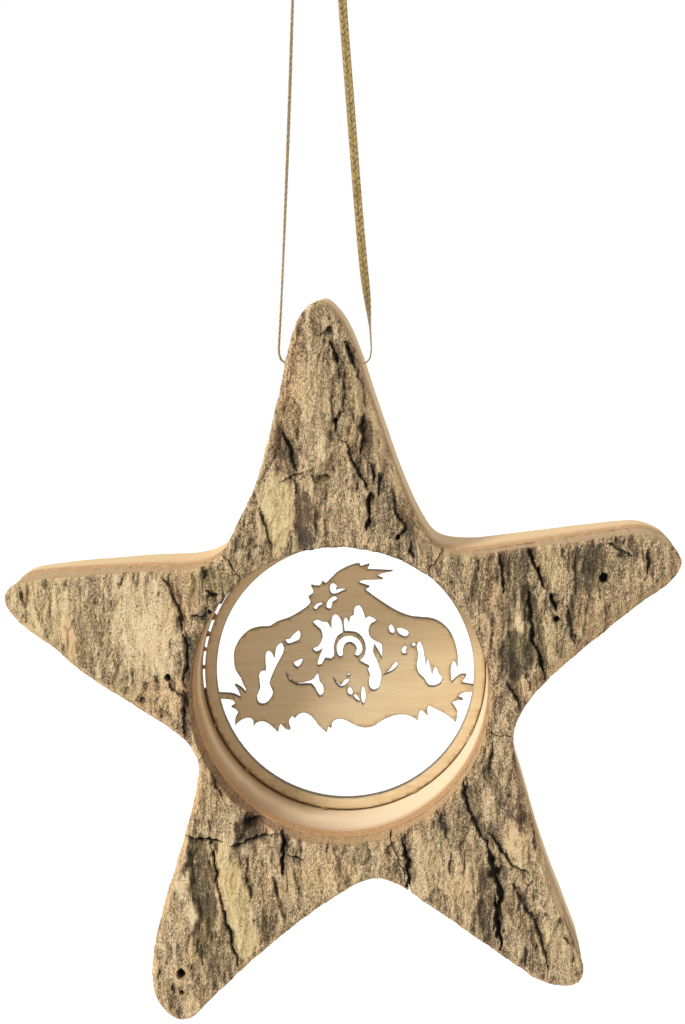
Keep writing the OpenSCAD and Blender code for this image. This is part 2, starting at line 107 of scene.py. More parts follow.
# The knot's middle, on the right strand
KNOT_AT = (3.1, 0.0, -15.0)

# Directions of the beads of glue between the sheet's rim and the window's wall
BEAD_ANGLES = (14, 58, 96, 131, 157, 164.5, 171, 178.5, 203, 226, 262, 301, 335)

# Stretches of the rim, in degrees, behind which a line of glue closes the gap to the window's wall
GLUE_SEAMS = ((187, 330), (332, 512))

# Fissures of the bark about the window's centre: points along each, its width and its depth
FISSURES = (
    # top arm
    (((-1.3, 55.4), (-1.8, 54.6)), 0.7, 1.0),
    (((-2.8, 53.8), (-1.9, 54.4), (-1.0, 54.5)), 0.3, 0.5),
    (((-1.3, 53), (-0.7, 51.4), (0, 49)), 0.75, 1.6),
    (((0, 49.2), (0.9, 46.5), (0.7, 43.2), (-0.2, 41.6)), 0.9, 0.5),
    (((-0.9, 41.3), (-0.1, 41.4)), 1.0, 2.2),
    (((0.9, 53.3), (1.9, 50.5), (2.5, 49.2)), 0.8, 1.5),
    (((2.4, 49.4), (3.3, 46.9), (3.7, 45), (4.2, 43)), 0.45, 0.8),
    (((3.9, 42.4), (3.4, 40.5), (3.8, 38.8), (3.3, 36.4)), 0.8, 1.3),
    (((1.2, 38.4), (1.8, 35.6), (2.8, 34.1), (3.7, 32.6), (4.7, 30.8)), 0.5, 1.2),
    (((4.7, 31), (4.6, 28.8), (4.3, 25.3)), 0.9, 1.8),
    (((4.7, 35.4), (5.2, 32.3)), 0.5, 1.0),
    (((6.2, 33.9), (6.1, 32.2), (6, 30.3)), 0.5, 1.2),
    (((7.8, 32.1), (8.1, 29.8), (8.5, 27.8), (10.1, 25.7), (8.8, 24.2)), 0.7, 1.1),
    (((10.6, 23.7), (10.8, 22.4), (11.1, 21.1)), 0.6, 0.9),
    (((-8.2, 39.4), (-7.2, 37.2), (-6.9, 35.6), (-5.8, 33.8)), 0.8, 1.2),
    (((-8.5, 32.5), (-6.4, 33.4), (-4.2, 34), (-3.4, 32.4)), 0.35, 0.7),
    (((-3.1, 33.3), (-1, 33.1)), 0.3, 0.6),
    (((-6.4, 32.8), (-6.2, 30.3)), 0.4, 0.6),
    (((-11.6, 28.5), (-11, 26), (-10.2, 22.8)), 0.45, 0.9),
    # left arm
    (((-26.3, 17.6), (-25.4, 16.4), (-24.5, 14.4), (-23.8, 12.5), (-23.6, 9.7)), 0.5, 1.1),
    (((-23.5, 9.6), (-22.7, 7.4), (-22.9, 5), (-23.1, 2.8), (-23.3, 0.9)), 0.7, 1.2),
    (((-23.2, 1), (-23.5, -2.2), (-23.2, -5.8), (-22.6, -8.5)), 0.6, 1.1),
    (((-20.5, 20.2), (-20.1, 17.4)), 0.4, 0.8),
    (((-19.8, 15.8), (-18, 15.2)), 1.2, 0.9),
    (((-19.9, 13.5), (-20.1, 11.9), (-22.6, 12.1)), 0.35, 0.7),
    (((-25.7, 2.6), (-25.1, 0.9), (-23.5, -0.2), (-22.8, -1.9)), 0.4, 0.8),
    (((-29.7, -0.4), (-29.8, -1.6)), 0.4, 0.7),
    (((-48, 15.5), (-47.6, 13), (-47.2, 10.5)), 1.0, 0.6),
    (((-44.3, 17.2), (-44.6, 15.5)), 0.8, 0.5),
    # right arm
    (((23.8, 23.4), (24.1, 19.3), (24.6, 15.8)), 0.9, 1.1),
    (((27.4, 24.8), (28.8, 20.8), (30, 18.1), (30.7, 16.5)), 0.9, 1.9),
    (((31.1, 15.8), (32.5, 13.2)), 0.9, 2.0),
    (((32.5, 12.3), (32.3, 11.7)), 0.6, 1.2),
    (((28.2, 16), (28.5, 12.4), (29, 8.2), (30.1, 5.5), (31, 2.4)), 1.15, 1.7),
    (((24.9, 2.5), (26.1, 0.9), (27.3, -1.7)), 0.6, 1.3),
    (((27.7, 3.9), (28.6, 0.9)), 0.7, 0.6),
    (((37.6, 24.4), (37.7, 17.4)), 1.3, 0.4),
    (((40.8, 25), (41, 22.8)), 0.9, 1.2),
    (((39.8, 23.4), (41.7, 22.2), (43.5, 21.2)), 0.45, 0.8),
    (((45.8, 22.8), (45.9, 20), (45.6, 17.8)), 0.6, 1.0),
    (((33.7, 13.7), (34.4, 11.9), (34.6, 9.6), (35.3, 8.2)), 0.8, 0.9),
    # lower left arm
    (((-23.4, -21.6), (-21.1, -22.4), (-19.7, -21.9), (-17.8, -22.4)), 0.6, 1.2),
    (((-16.4, -23.1), (-13.1, -22.3), (-11.7, -21.7), (-9.3, -21)), 0.5, 1.1),
    (((-14.6, -19.9), (-13, -19.2), (-11.6, -18.6)), 1.6, 2.0),
    (((-8.6, -20.4), (-8.3, -24.3), (-8.6, -27.4)), 1.2, 2.2),
    (((-7.6, -24.3), (-4.9, -25.1)), 0.35, 0.7),
    (((-19.4, -22.6), (-18.4, -29.1), (-17.6, -33.3), (-16.5, -37), (-15.2, -42.6)), 0.55, 1.1),
    (((-25.5, -45.2), (-25.3, -46.8)), 0.4, 0.6),
    (((-22.3, -35.7), (-21.4, -39.4), (-20.7, -41.9)), 1.6, 0.5),
    (((-9.9, -27.7), (-9.1, -31.2), (-8.2, -34.5)), 1.1, 0.5),
    (((-14, -27.8), (-13.2, -31.8)), 0.5, 0.6),
    (((-19.3, -11.4), (-18.4, -13.9), (-17.5, -15.8)), 0.5, 0.7),
    # lower right arm
    (((9.7, -22), (10.3, -25.3), (10.6, -29.8)), 1.2, 1.9),
    (((18.6, -11.9), (19.5, -16.7), (21, -20.3), (22.2, -22.1)), 0.8, 1.3),
    (((22.2, -21.9), (23.4, -26), (24.3, -30.1), (24, -34.4), (24.6, -39)), 1.9, 2.2),
    (((22.7, -20.6), (24.5, -23.3), (26.3, -25.7), (28.6, -26.9)), 0.5, 1.1),
    (((29.1, -17.9), (29.7, -23.6)), 0.7, 0.9),
    (((34, -36.9), (35.8, -38.7)), 0.4, 0.8),
    (((26.3, -28.4), (28.1, -32.3), (29.9, -34.7), (31.1, -38.9), (32, -42)), 0.8, 0.9),
    (((17, -23.8), (16.7, -26.8)), 0.4, 0.7),
    (((14.9, -17.3), (15.6, -19.4), (16.3, -21.5)), 0.9, 0.6),
)

# Beetle holes of the bark: place and diameter
BEETLE_HOLES = (
    ((-25.7, 2.6), 0.8), ((39.4, 18), 1.2), ((32.4, 11.9), 0.7), ((-24.1, -43.4), 1.2),
    ((-24, -46.4), 0.6), ((8.8, 24.2), 0.6), ((-19.3, 12.6), 0.5),
)

# Patches of the bark: middle, half width and half height, lean in degrees with the lower end to the
# right, and how much each is smooth, raised, lighter, orange and green
# Several lowered patches are also darker, as painted shade in their recesses
PATCHES = (
    # top arm
    ((-3.3, 43.8), (2.6, 9), 2, 0.8, 0.25, 0.10, 0, 0.15),
    ((-7.2, 46), (1.8, 9.5), -9, 0.1, -0.1, -0.02, 0.8, 0),
    ((-9, 28), (2.6, 6), 2, 0.5, 0.2, 0.35, 0, 0.7),
    ((1.2, 27), (3.4, 5), 0, 0.8, 0.35, 0.05, 0.15, 0),
    ((8.2, 40), (1.6, 14), 22, 0.5, -0.2, 0.3, 0.35, 0),
    ((-2.1, 37), (1.6, 2), 0, 0.3, 0.1, 0.3, 0, 0.1),
    ((-7.9, 36.2), (1.7, 4.5), 18, 0, -0.5, -0.2, 0.1, 0),
    ((3.8, 38.6), (1.5, 4), 0, 0, -0.5, -0.11, 0.1, 0),
    ((-5, 26.8), (1.6, 5), 8, 0, -0.4, -0.6, 0, 0),
    ((8.6, 26.5), (3, 4.5), 20, 0.2, -0.15, -0.14, 0, 0),
    # left arm
    ((-29, 10.2), (5.2, 8.6), 0, 0.75, 0.3, 0.27, 0, 0.05),
    ((-28.9, 9), (1.8, 3.4), 0, 0.3, 0.1, 0.16, 0, 0),
    ((-37.2, 10.3), (3.2, 9), 10, 0.5, -0.1, 0.05, 0, 0.1),
    ((-40.6, 8.4), (1.2, 4), 12, 0.4, 0.15, 0.22, 1, 0),
    ((-27.6, -1.7), (6, 4), 35, 0, 0.05, 0.02, 0.65, 0),
    ((-23.2, 16), (3, 4.4), 10, 0.6, 0.1, 0.01, 0.65, 0),
    ((-18, 17.5), (2.2, 2.6), 0, 0, -0.3, -0.12, 0, 0.4),
    ((-45, 12), (4.2, 6.2), 0, 0.4, 0, 0.16, 0, 0.5),
    ((-23.6, -4.5), (1, 6), 0, 0, -0.3, -0.04, 0.2, 0),
    # right arm
    ((26.4, 20.5), (2.4, 6), 8, 0.2, -0.5, -0.24, 0, 0.1),
    ((29.2, 10), (1.5, 8), 10, 0.2, -0.6, -0.2, 0, 0.1),
    ((26.6, 6.4), (2.5, 4), 4, 0.3, -0.4, -0.42, -0.3, 0.12),
    ((31.4, 20.6), (2.2, 4.4), 14, 0.4, 0.35, 0.02, 0, 0.3),
    ((32.5, 7), (2.4, 4.5), 10, 0.3, 0.1, 0.08, 0, 0.3),
    ((26.8, 11.2), (0.8, 1.6), 10, 0.4, 0.2, 0.35, -0.3, 0),
    ((37.5, 19.4), (3, 4.2), 0, 0.2, -0.2, -0.26, 0, 0.1),
    ((43, 15.4), (3.6, 4.8), -35, 0.6, 0.1, 0.04, 0.3, 0),
    ((37, 10.4), (2.4, 2), -30, 0.6, 0.1, 0.04, 0, 0.3),
    ((22.9, 6), (1.6, 12), 0, 0.2, 0.1, 0.04, 0.45, 0),
    # lower left arm
    ((-13.4, -20.4), (2.6, 2.4), 30, 0, -1.1, -0.24, 0.2, 0),
    ((-15.4, -32.5), (2.4, 11.5), 14, 0.6, 0.4, 0.19, 0, 1),
    ((-20.6, -29), (2.2, 9), 8, 0.3, -0.9, -0.32, 0, 0.12),
    ((-18.6, -38), (2.8, 6.5), 12, 0.2, -0.5, -0.12, 0, 0.1),
    ((-9.5, -29), (3, 6), -8, 0.1, 0.1, 0.07, 0.3, 0.1),
    ((-24.1, -29.6), (0.8, 2), 0, 0.3, 0.1, 0.4, -0.3, 0),
    ((-22.2, -34), (0.8, 1.6), 0, 0.3, 0.1, 0.4, -0.3, 0),
    ((-20, -14), (2.6, 5.5), 15, 0.3, 0.2, -0.08, 0.45, 0),
    ((-2, -26.5), (5, 3), 0, 0.5, 0.1, 0.06, 0.5, 0),
    ((-23, -44), (3.6, 5), 0, 0.2, 0.1, -0.04, 0.3, 0.1),
    # lower right arm
    ((22.8, -33.5), (1.9, 8.5), 4, 0.3, -0.8, -0.04, 0, 0),
    ((26.9, -23.2), (2, 3.6), 12, 0.6, 0.35, 0.24, 0, 0.05),
    ((22.7, -16.8), (1.1, 3.2), 14, 0.4, 0.2, 0.2, 0, 0),
    ((32.1, -29.5), (1.8, 6), 16, 0.3, 0.2, 0.16, 0.15, 0),
    ((33.4, -40), (2.8, 7), 15, 0.8, 0.15, 0.22, 0, 0.1),
    ((12.8, -26), (2.8, 6), 0, 0.6, 0.2, 0.22, 0.1, 0),
    ((18, -28.5), (2.4, 6.5), 4, 0.4, 0.1, 0.2, 0.2, 0),
    ((28.4, -34), (2.2, 6), 20, 0.1, -0.1, -0.08, 0.25, 0),
)

# Slopes of the bark's cut edge: from and to which direction, how wide and how deep
BEVELS = (
    (52, 89, 1.9, 1.7), (2, 26, 1.5, 0.9), (203, 247, 0.9, 0.6), (300, 330, 0.7, 0.5),
    (160, 200, 0.8, 0.5),
)


# Arithmetic that the surfaces share

# Farther than anything on the star, in millimetres
FAR = 1e9


def paint(red, green, blue):
    """A colour as it shows on a screen, from 0 to 255, as the linear colour that a shader takes.

    The screen's curve is a straight line near black, and a power of 2.4 above it.
    """
    shown = np.array((red, green, blue)) / 255
    linear = np.where(shown <= 0.04045, shown / 12.92, ((shown + 0.055) / 1.055) ** 2.4)
    return tuple(float(c) for c in linear)


def smooth(t):
    """Rises from 0 to 1 with level ends as t goes from 0 to 1: three t squared less two t cubed."""
    t = np.clip(t, 0, 1)
    return t * t * (3 - 2 * t)


def mix(a, b, t):
    """Goes in a straight line from a to b as t goes from 0 to 1."""
    return a + (b - a) * t


def unit(vectors):
    """Each vector over its own length."""
    return vectors / np.linalg.norm(vectors, axis=1)[:, None]


def scatter(ix, iz, seed):
    """An even random number from 0 to 1 for each whole-numbered point, the same in every run.

    Large odd multipliers spread the bits of the point and the seed.
    """
    bits = 0xFFFFFFFF
    n = ix.astype(np.int64) * 374761393 + iz.astype(np.int64) * 668265263 + seed * 974634777
    n = n & bits
    n = ((n ^ (n >> 13)) * 1274126177) & bits
    return ((n ^ (n >> 16)) & bits) / bits


def noise(x, z, seed):
    """Gradient noise from about -1 to 1: random slopes at whole-numbered points, blended between.

    Places go in over a length in millimetres, which is the size of its waves.
    """
    ix, iz = np.floor(x), np.floor(z)
    fx, fz = x - ix, z - iz
    bend_x, bend_z = (f * f * f * (f * (6 * f - 15) + 10) for f in (fx, fz))

    def slope(dx, dz):
        turn = scatter(ix + dx, iz + dz, seed) * TURN
        return np.cos(turn) * (fx - dx) + np.sin(turn) * (fz - dz)

    near = mix(slope(0, 0), slope(1, 0), bend_x)
    far = mix(slope(0, 1), slope(1, 1), bend_x)
    return 1.5 * mix(near, far, bend_z)


def waves(x, z, *layers):
    """Noise of several sizes added up: each has a weight, its size along x and z, and its seed."""
    return sum(weight * noise(x / wide, z / high, seed) for weight, wide, high, seed in layers)


def rough(x, z, seed, layers=3):
    """Noise on noise: each layer is twice as fine and half as strong as the one before it."""
    return sum(noise(x * 2**k, z * 2**k, seed + 7 * k) / 2**k for k in range(layers))


def cells(x, z, seed):
    """Cells round one random point in each square: how far inside its cell a point lies, which is
    the second nearest distance less the nearest, and the random number of its cell."""
    ix, iz = np.floor(x), np.floor(z)
    first = np.full(x.shape, FAR)
    second = np.full(x.shape, FAR)
    number = np.zeros(x.shape)
    for dx in (-1, 0, 1):
        for dz in (-1, 0, 1):
            px = ix + dx + scatter(ix + dx, iz + dz, seed)
            pz = iz + dz + scatter(ix + dx, iz + dz, seed + 1)
            d = np.hypot(x - px, z - pz)
            closer = d < first
            second = np.where(closer, first, np.minimum(second, d))
            number = np.where(closer, scatter(ix + dx, iz + dz, seed + 2), number)
            first = np.where(closer, d, first)
    return second - first, number


def soften(field, reach):
    """A grid averaged over reach cells each way, three times over, so that it is nearly a bell."""
    width = 2 * reach + 1
    for _ in range(3):
        for _ in ("down", "across"):
            total = np.cumsum(np.pad(field, ((reach + 1, reach), (0, 0)), mode="edge"), axis=0)
            field = ((total[width:] - total[:-width]) / width).T
    return field


def curve_through(knots, steps, closed=True):
    """A smooth curve through its knots: between two of them a cubic whose slope at each knot is
    half the way from the knot before it to the knot after it."""
    knots = np.asarray(knots, float)
    at = np.arange(len(knots) if closed else len(knots) - 1)
    mode = "wrap" if closed else "clip"
    a, b, c, d = (knots.take(at + k, axis=0, mode=mode)[:, None] for k in (-1, 0, 1, 2))
    t = (np.arange(steps) / steps)[None, :, None]
    points = b + 0.5 * t * (c - a + t * (2 * a - 5 * b + 4 * c - d + t * (3 * (b - c) + d - a)))
    points = points.reshape(-1, knots.shape[1])
    return points if closed else np.vstack((points, knots[-1]))


def run_along(line):
    """How far along a line each of its points lies."""
    return np.concatenate(([0], np.cumsum(np.linalg.norm(np.diff(line[:, :3], axis=0), axis=1))))


def even_line(points, count, closed=True):
    """A line's points at equal steps along it, by straight lines between its own."""
    line = np.vstack((points, points[:1])) if closed else points
    run = run_along(line)
    at = np.linspace(0, run[-1], count, endpoint=not closed)
    return np.stack([np.interp(at, run, line[:, k]) for k in range(line.shape[1])], axis=1)


def beside_segment(x, z, start, end):
    """The share of a straight line at which each place is nearest to it, and its distance there."""
    (ax, az), (bx, bz) = start, end
    squared = max((bx - ax) ** 2 + (bz - az) ** 2, 1 / FAR)
    t = np.clip(((x - ax) * (bx - ax) + (z - az) * (bz - az)) / squared, 0, 1)
    return t, np.hypot(x - ax - t * (bx - ax), z - az - t * (bz - az))


def from_segments(x, z, segments):
    """Distance of each place from the nearest of some straight lines, each given by its two ends."""
    nearest = np.full(x.shape, FAR)
    for segment in segments:
        nearest = np.minimum(nearest, beside_segment(x, z, segment[:2], segment[2:])[1])
    return nearest


def trunk(x, crown, radius):
    """Depth of a round trunk's surface at x from its crown line: an arc of a circle."""
    return crown + radius - np.sqrt(radius**2 - x**2)


# The star's outline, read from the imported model's sawn back

def mesh_places(mesh):
    """A mesh's corners in millimetres."""
    flat = np.empty(len(mesh.vertices) * 3)
    mesh.vertices.foreach_get("co", flat)
    return flat.reshape(-1, 3) * MM


def outline_corners():
    """Corners of the sawn back outside the window, about its centre, sorted by their direction."""
    corners = mesh_places(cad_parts["star_core"].data)
    corners = corners[corners[:, 1] > BACK_Y - 0.01][:, (0, 2)] - (WINDOW_X, WINDOW_Z)
    corners = corners[np.hypot(*corners.T) > WINDOW_R + 1]
    corners = np.unique(np.round(corners, 2), axis=0)
    return corners[np.argsort(np.arctan2(corners[:, 1], corners[:, 0]))]


OUTLINE = curve_through(outline_corners(), 4)
# Step and half width of the table of distances, and how many straight edges stand for the outline
TABLE_STEP = 0.4
TABLE_REACH = 62.0
TABLE_EDGES = 700


def outline_table():
    """Distance from the outline on an even grid, below 0 inside: the nearest of its edges."""
    side = np.arange(-TABLE_REACH, TABLE_REACH + TABLE_STEP, TABLE_STEP)
    x, z = np.meshgrid(side, side)
    line = even_line(OUTLINE, TABLE_EDGES)
    nearest = from_segments(x, z, np.hstack((line, np.roll(line, -1, axis=0))))
    heading = np.arctan2(line[:, 1], line[:, 0])
    order = np.argsort(heading)
    reach = np.interp(np.arctan2(z, x), heading[order], np.hypot(*line[order].T), period=TURN)
    return np.where(np.hypot(x, z) < reach, -1, 1) * nearest


DISTANCE_TABLE = outline_table()


def from_outline(x, z):
    """Distance from the star's outline, below 0 inside: between four places of the table."""
    u = np.clip((x + TABLE_REACH) / TABLE_STEP, 0, DISTANCE_TABLE.shape[1] - 1.001)
    v = np.clip((z + TABLE_REACH) / TABLE_STEP, 0, DISTANCE_TABLE.shape[0] - 1.001)
    i, j = v.astype(int), u.astype(int)
    low = mix(DISTANCE_TABLE[i, j], DISTANCE_TABLE[i, j + 1], u - j)
    high = mix(DISTANCE_TABLE[i + 1, j], DISTANCE_TABLE[i + 1, j + 1], u - j)
    return mix(low, high, v - i)


# Settings that a user would change

def measure(name, description, default, low, high):
    """A length setting with its default and limits in metres."""
    return FloatProperty(
        name=name, description=description, default=default, min=low, max=high,
        unit="LENGTH", precision=5,
    )


def colour(name, description, shown):
    """A colour setting with its screen colour as the default."""
    return FloatVectorProperty(
        name=name, description=description, subtype="COLOR", size=3, min=0, max=1,
        default=paint(*shown),
    )


class StarSizes(bpy.types.PropertyGroup):
    """Sizes of the star's surface detail."""

    bark_spacing: measure(
        "Bark spacing", "Grid spacing of the bark's relief", 0.00016, 0.0001, 0.001
    )
    bark_relief: FloatProperty(
        name="Bark relief", description="Share of the bark's full relief",
        default=1.0, min=0.0, max=1.5, subtype="FACTOR",
    )
    neck_crack: measure(
        "Neck crack", "Width of the cracks that part the bark at the necks", 0.00018, 0.0001, 0.0008
    )
    wood_edge: measure(
        "Wood edge", "Radius of the sanded edges of the sawn back", 0.0005, 0.0001, 0.002
    )
    cord_width: measure("Cord width", "Width of the flat braid", 0.0014, 0.0008, 0.002)
    cord_thickness: measure(
        "Cord thickness", "Thickness of the flat braid", 0.00034, 0.0002, 0.0008
    )
    braid_pitch: measure("Braid pitch", "Length of one stitch of the braid", 0.00095, 0.0004, 0.002)


class StarColours(bpy.types.PropertyGroup):
    """Colours of the star's materials."""

    sapwood: colour("Sapwood", "Pale wood between the growth lines", (235, 206, 158))
    growth: colour("Growth lines", "Darker growth lines of the wood", (219, 183, 132))
    # Paints the highlight on the window's lit lower right and in a ring at half its depth
    bored: colour("Bored wood", "Smooth wall of the window", (250, 235, 203))
    inner_bark: colour("Inner bark", "Fibrous orange inner bark", (201, 158, 109))
    rind: colour("Broken bark", "Orange-tan bark where it is cut or broken", (226, 189, 139))
    # Also paints the brown shade on the window's left wall
    inner_dark: colour("Inner bark grains", "Darker grains of the inner bark", (138, 101, 69))
    # The darkest bark tone, also used to paint shade into the bark's cracks, holes and hollows
    bark_dark: colour("Bark hollows", "Dirt in the bark's hollows", (64, 54, 40))
    bark_low: colour("Low bark", "Darker weathered bark", (112, 95, 68))
    bark_mid: colour("Bark", "Weathered bark", (159, 135, 101))
    bark_light: colour("Light bark", "Light flakes of the bark", (204, 175, 132))
    bark_pale: colour("Pale bark", "The palest flecks of the bark", (230, 208, 165))
    moss: colour("Algae", "Yellow-green bloom on the bark", (212, 192, 118))
    panel: colour("Panel", "Thin laser-cut sheet", (215, 193, 153))
    panel_grain: colour("Panel grain", "Darker grain of the sheet", (199, 171, 128))
    scorch: colour("Scorch", "Burnt edges of the cut sheet", (58, 45, 32))
    glue: colour("Glue", "Dried wood glue", (166, 128, 78))
    cord_gold: colour("Gold thread", "Metallic thread of the braid", (190, 161, 98))
    cord_dark: colour("Thread hollows", "Shaded hollows of the braid", (74, 56, 32))
    floor: colour("Floor", "Plain pale floor", (250, 250, 249))


# Shader helpers

def opaque(rgb):
    """A colour with its alpha."""
    return (*rgb, 1.0)


def feed(tree, socket, value):
    """Gives a socket another node's output or a plain value."""
    if isinstance(value, bpy.types.NodeSocket):
        tree.links.new(value, socket)
    else:
        socket.default_value = value


def add_node(tree, kind, feeds=None, **settings):
    """Adds a node, sets its settings and gives each named input a value or another node's output."""
    made = tree.nodes.new(kind)
    for name, value in settings.items():
        setattr(made, name, value)
    for name, value in (feeds or {}).items():
        feed(tree, made.inputs[name], value)
    return made


def maths(tree, operation, *values, clamp=False):
    """The output of a Math node."""
    feeds = dict(enumerate(values))
    return add_node(tree, "ShaderNodeMath", feeds, operation=operation, use_clamp=clamp).outputs[0]


def times(tree, value, share):
    """A value times a share."""
    return maths(tree, "MULTIPLY", value, share)


def both(tree, one, its_share, other, other_share):
    """Two values added, each times its share."""
    return maths(tree, "ADD", times(tree, one, its_share), times(tree, other, other_share))


def over(tree, value, floor, gain):
    """How far a value is above a floor, times a gain, kept between 0 and 1."""
    above = maths(tree, "SUBTRACT", value, floor, clamp=True)
    return maths(tree, "MULTIPLY", above, gain, clamp=True)


def blend(tree, amount, first, second, kind="MIX"):
    """The output of a colour mix from first to second, each a setting or another node's output."""
    made = add_node(tree, "ShaderNodeMix", {"Factor": amount}, data_type="RGBA", blend_type=kind)
    for slot, value in (("A_Color", first), ("B_Color", second)):
        socket = next(s for s in made.inputs if s.identifier == slot)
        feed(tree, socket, value if isinstance(value, bpy.types.NodeSocket) else opaque(value))
    return next(s for s in made.outputs if s.identifier == "Result_Color")


def tint(tree, base, mask, share, second, kind="MIX"):
    """The base with a second colour over it where a mask is, by a share of the mask."""
    return blend(tree, times(tree, mask, share), base, second, kind)


def stretched(tree, scale):
    """Object coordinates in millimetres, times a scale for each axis."""
    place = add_node(tree, "ShaderNodeTexCoord").outputs["Object"]
    feeds = {0: place, 1: tuple(MM * s for s in scale)}
    return add_node(tree, "ShaderNodeVectorMath", feeds, operation="MULTIPLY").outputs[0]


def speckle(tree, scale, detail=2.0, roughness=0.5):
    """Noise from 0 to 1 with so many grains to a millimetre along each axis."""
    feeds = {"Vector": stretched(tree, scale), "Scale": 1.0, "Detail": detail, "Roughness": roughness}
    return add_node(tree, "ShaderNodeTexNoise", feeds).outputs["Fac"]


def attribute(tree, name):
    """A number that the mesh holds at each corner."""
    return add_node(tree, "ShaderNodeAttribute", attribute_name=name).outputs["Fac"]


def new_group(name, inputs, outputs):
    """A shader group with number inputs and outputs, and its two end nodes."""
    tree = bpy.data.node_groups.new(name, "ShaderNodeTree")
    for label, value in inputs:
        socket = tree.interface.new_socket(label, in_out="INPUT", socket_type="NodeSocketFloat")
        socket.default_value = value
    for label in outputs:
        tree.interface.new_socket(label, in_out="OUTPUT", socket_type="NodeSocketFloat")
    return tree, tree.nodes.new("NodeGroupInput").outputs, tree.nodes.new("NodeGroupOutput").inputs


def fibre_group():
    """Streaks and grains that run up the tree: a shade about 0 and a height."""
    tree, given, out = new_group(
        "Tree fibres", (("Streaks", 1.0), ("Grains", 1.0)), ("Shade", "Height")
    )
    wide = speckle(tree, (2.2, 2.2, 0.35), 3.0, 0.6)
    fine = speckle(tree, (6.5, 6.5, 0.9), 2.0, 0.55)
    grain = speckle(tree, (7.5, 7.5, 3.0), 2.0, 0.65)
    streak = maths(tree, "SUBTRACT", both(tree, wide, 0.55, fine, 0.45), 0.5)
    grain = maths(tree, "SUBTRACT", grain, 0.5)
    total = both(tree, streak, given["Streaks"], grain, given["Grains"])
    tree.links.new(total, out["Shade"])
    tree.links.new(total, out["Height"])


def growth_group():
    """Growth lines round the trunk's axis: bands in the distance from it, wavy along the tree."""
    tree, given, out = new_group(
        "Growth lines", (("Lines per mm", 0.7), ("Waviness", 0.5)), ("Band", "Pores")
    )
    place = add_node(tree, "ShaderNodeTexCoord").outputs["Object"]
    axis = (WINDOW_X / MM, (WOOD_CROWN + WOOD_TRUNK_R) / MM, 0.0)
    for kind, other in (("SUBTRACT", axis), ("MULTIPLY", (MM, MM, 0.0))):
        place = add_node(tree, "ShaderNodeVectorMath", {0: place, 1: other}, operation=kind).outputs[0]
    radius = add_node(tree, "ShaderNodeVectorMath", {0: place}, operation="LENGTH").outputs["Value"]
    wave = times(tree, speckle(tree, (0.09, 0.09, 0.02)), times(tree, given["Waviness"], 6.0))
    turns = maths(tree, "ADD", times(tree, radius, given["Lines per mm"]), wave)
    tree.links.new(maths(tree, "POWER", maths(tree, "FRACT", turns), 2.5), out["Band"])
    tree.links.new(speckle(tree, (7.0, 7.0, 0.5), 2.0, 0.6), out["Pores"])


def use_group(tree, name, **values):
    """Places a shared group with this material's own values."""
    made = add_node(tree, "ShaderNodeGroup", node_tree=bpy.data.node_groups[name])
    for label, value in values.items():
        made.inputs[label.replace("_", " ")].default_value = value
    return made.outputs


def new_material(name, roughness, **shader_values):
    """A material with its tree, and its Principled shader with plain values set on its own sockets."""
    made = bpy.data.materials.new(name)
    made.use_nodes = True
    tree = made.node_tree
    shader = tree.nodes["Principled BSDF"]
    shader.inputs["Roughness"].default_value = roughness
    for label, value in shader_values.items():
        shader.inputs[label.replace("_", " ")].default_value = value
    return made, tree, shader


def dress(tree, shader, base, height, depth):
    """Gives a shader its colour and its bump, from a height in shares of a depth in millimetres."""
    tree.links.new(base, shader.inputs["Base Color"])
    feeds = {"Height": height, "Distance": depth / MM, "Strength": 1.0}
    normal = add_node(tree, "ShaderNodeBump", feeds).outputs["Normal"]
    tree.links.new(normal, shader.inputs["Normal"])


# Mesh helpers

# Corners closer than this are one, in metres
WELD = 0.000002


def show(name, data):
    """A mesh, lamp or camera as an object of the scene, at the origin."""
    made = bpy.data.objects.new(name, data)
    bpy.context.scene.collection.objects.link(made)
    return made


def add_mark(mesh, label, values):
    """Gives a mesh a number at each corner for its material to read."""
    held = mesh.attributes.new(label, "FLOAT", "POINT")
    held.data.foreach_set("value", np.asarray(values, np.float32).ravel())


def new_piece(name, points, faces, material, marks=None, sharp=50):
    """A mesh object from points in millimetres of the frame, with faces turned outwards."""
    points = np.asarray(points, float)
    a, b, c, d = (points[faces[:, k]] for k in range(4))
    # The faces enclose a volume below 0 when they point inwards
    if (a * (np.cross(b, c) + np.cross(c, d))).sum() < 0:
        faces = faces[:, ::-1]
    mesh = bpy.data.meshes.new(name)
    mesh.vertices.add(len(points))
    mesh.vertices.foreach_set("co", (points / MM).ravel())
    mesh.loops.add(faces.size)
    mesh.loops.foreach_set("vertex_index", faces.ravel().astype(np.int32))
    mesh.polygons.add(len(faces))
    mesh.polygons.foreach_set("loop_start", np.arange(len(faces), dtype=np.int32) * 4)
    mesh.polygons.foreach_set("use_smooth", np.ones(len(faces), dtype=bool))
    mesh.update(calc_edges=True)
    mesh.validate()
    for label, values in (marks or {}).items():
        add_mark(mesh, label, values)
    mesh.set_sharp_from_angle(angle=math.radians(sharp))
    mesh.materials.append(material)
    return show(name, mesh)


def grid_faces(rows, columns, closed=True):
    """Faces of a grid whose columns close on themselves, and whose rows do unless it is open."""
    at = np.arange(rows * columns).reshape(rows, columns)
    right, up = np.roll(at, -1, axis=1), np.roll(at, -1, axis=0)
    faces = np.stack((at, right, np.roll(up, -1, axis=1), up), axis=-1)
    return (faces if closed else faces[:-1]).reshape(-1, 4)


def placed(x, y, z):
    """Points of the frame from places about the window's centre and depths."""
    return np.stack((x + WINDOW_X, y, z + WINDOW_Z), axis=-1).reshape(-1, 3)


def welded(mesh):
    """A working copy of a mesh with its doubles merged."""
    work = bmesh.new()
    work.from_mesh(mesh)
    bmesh.ops.remove_doubles(work, verts=work.verts, dist=WELD)
    return work


# The two wood layers inside the bark

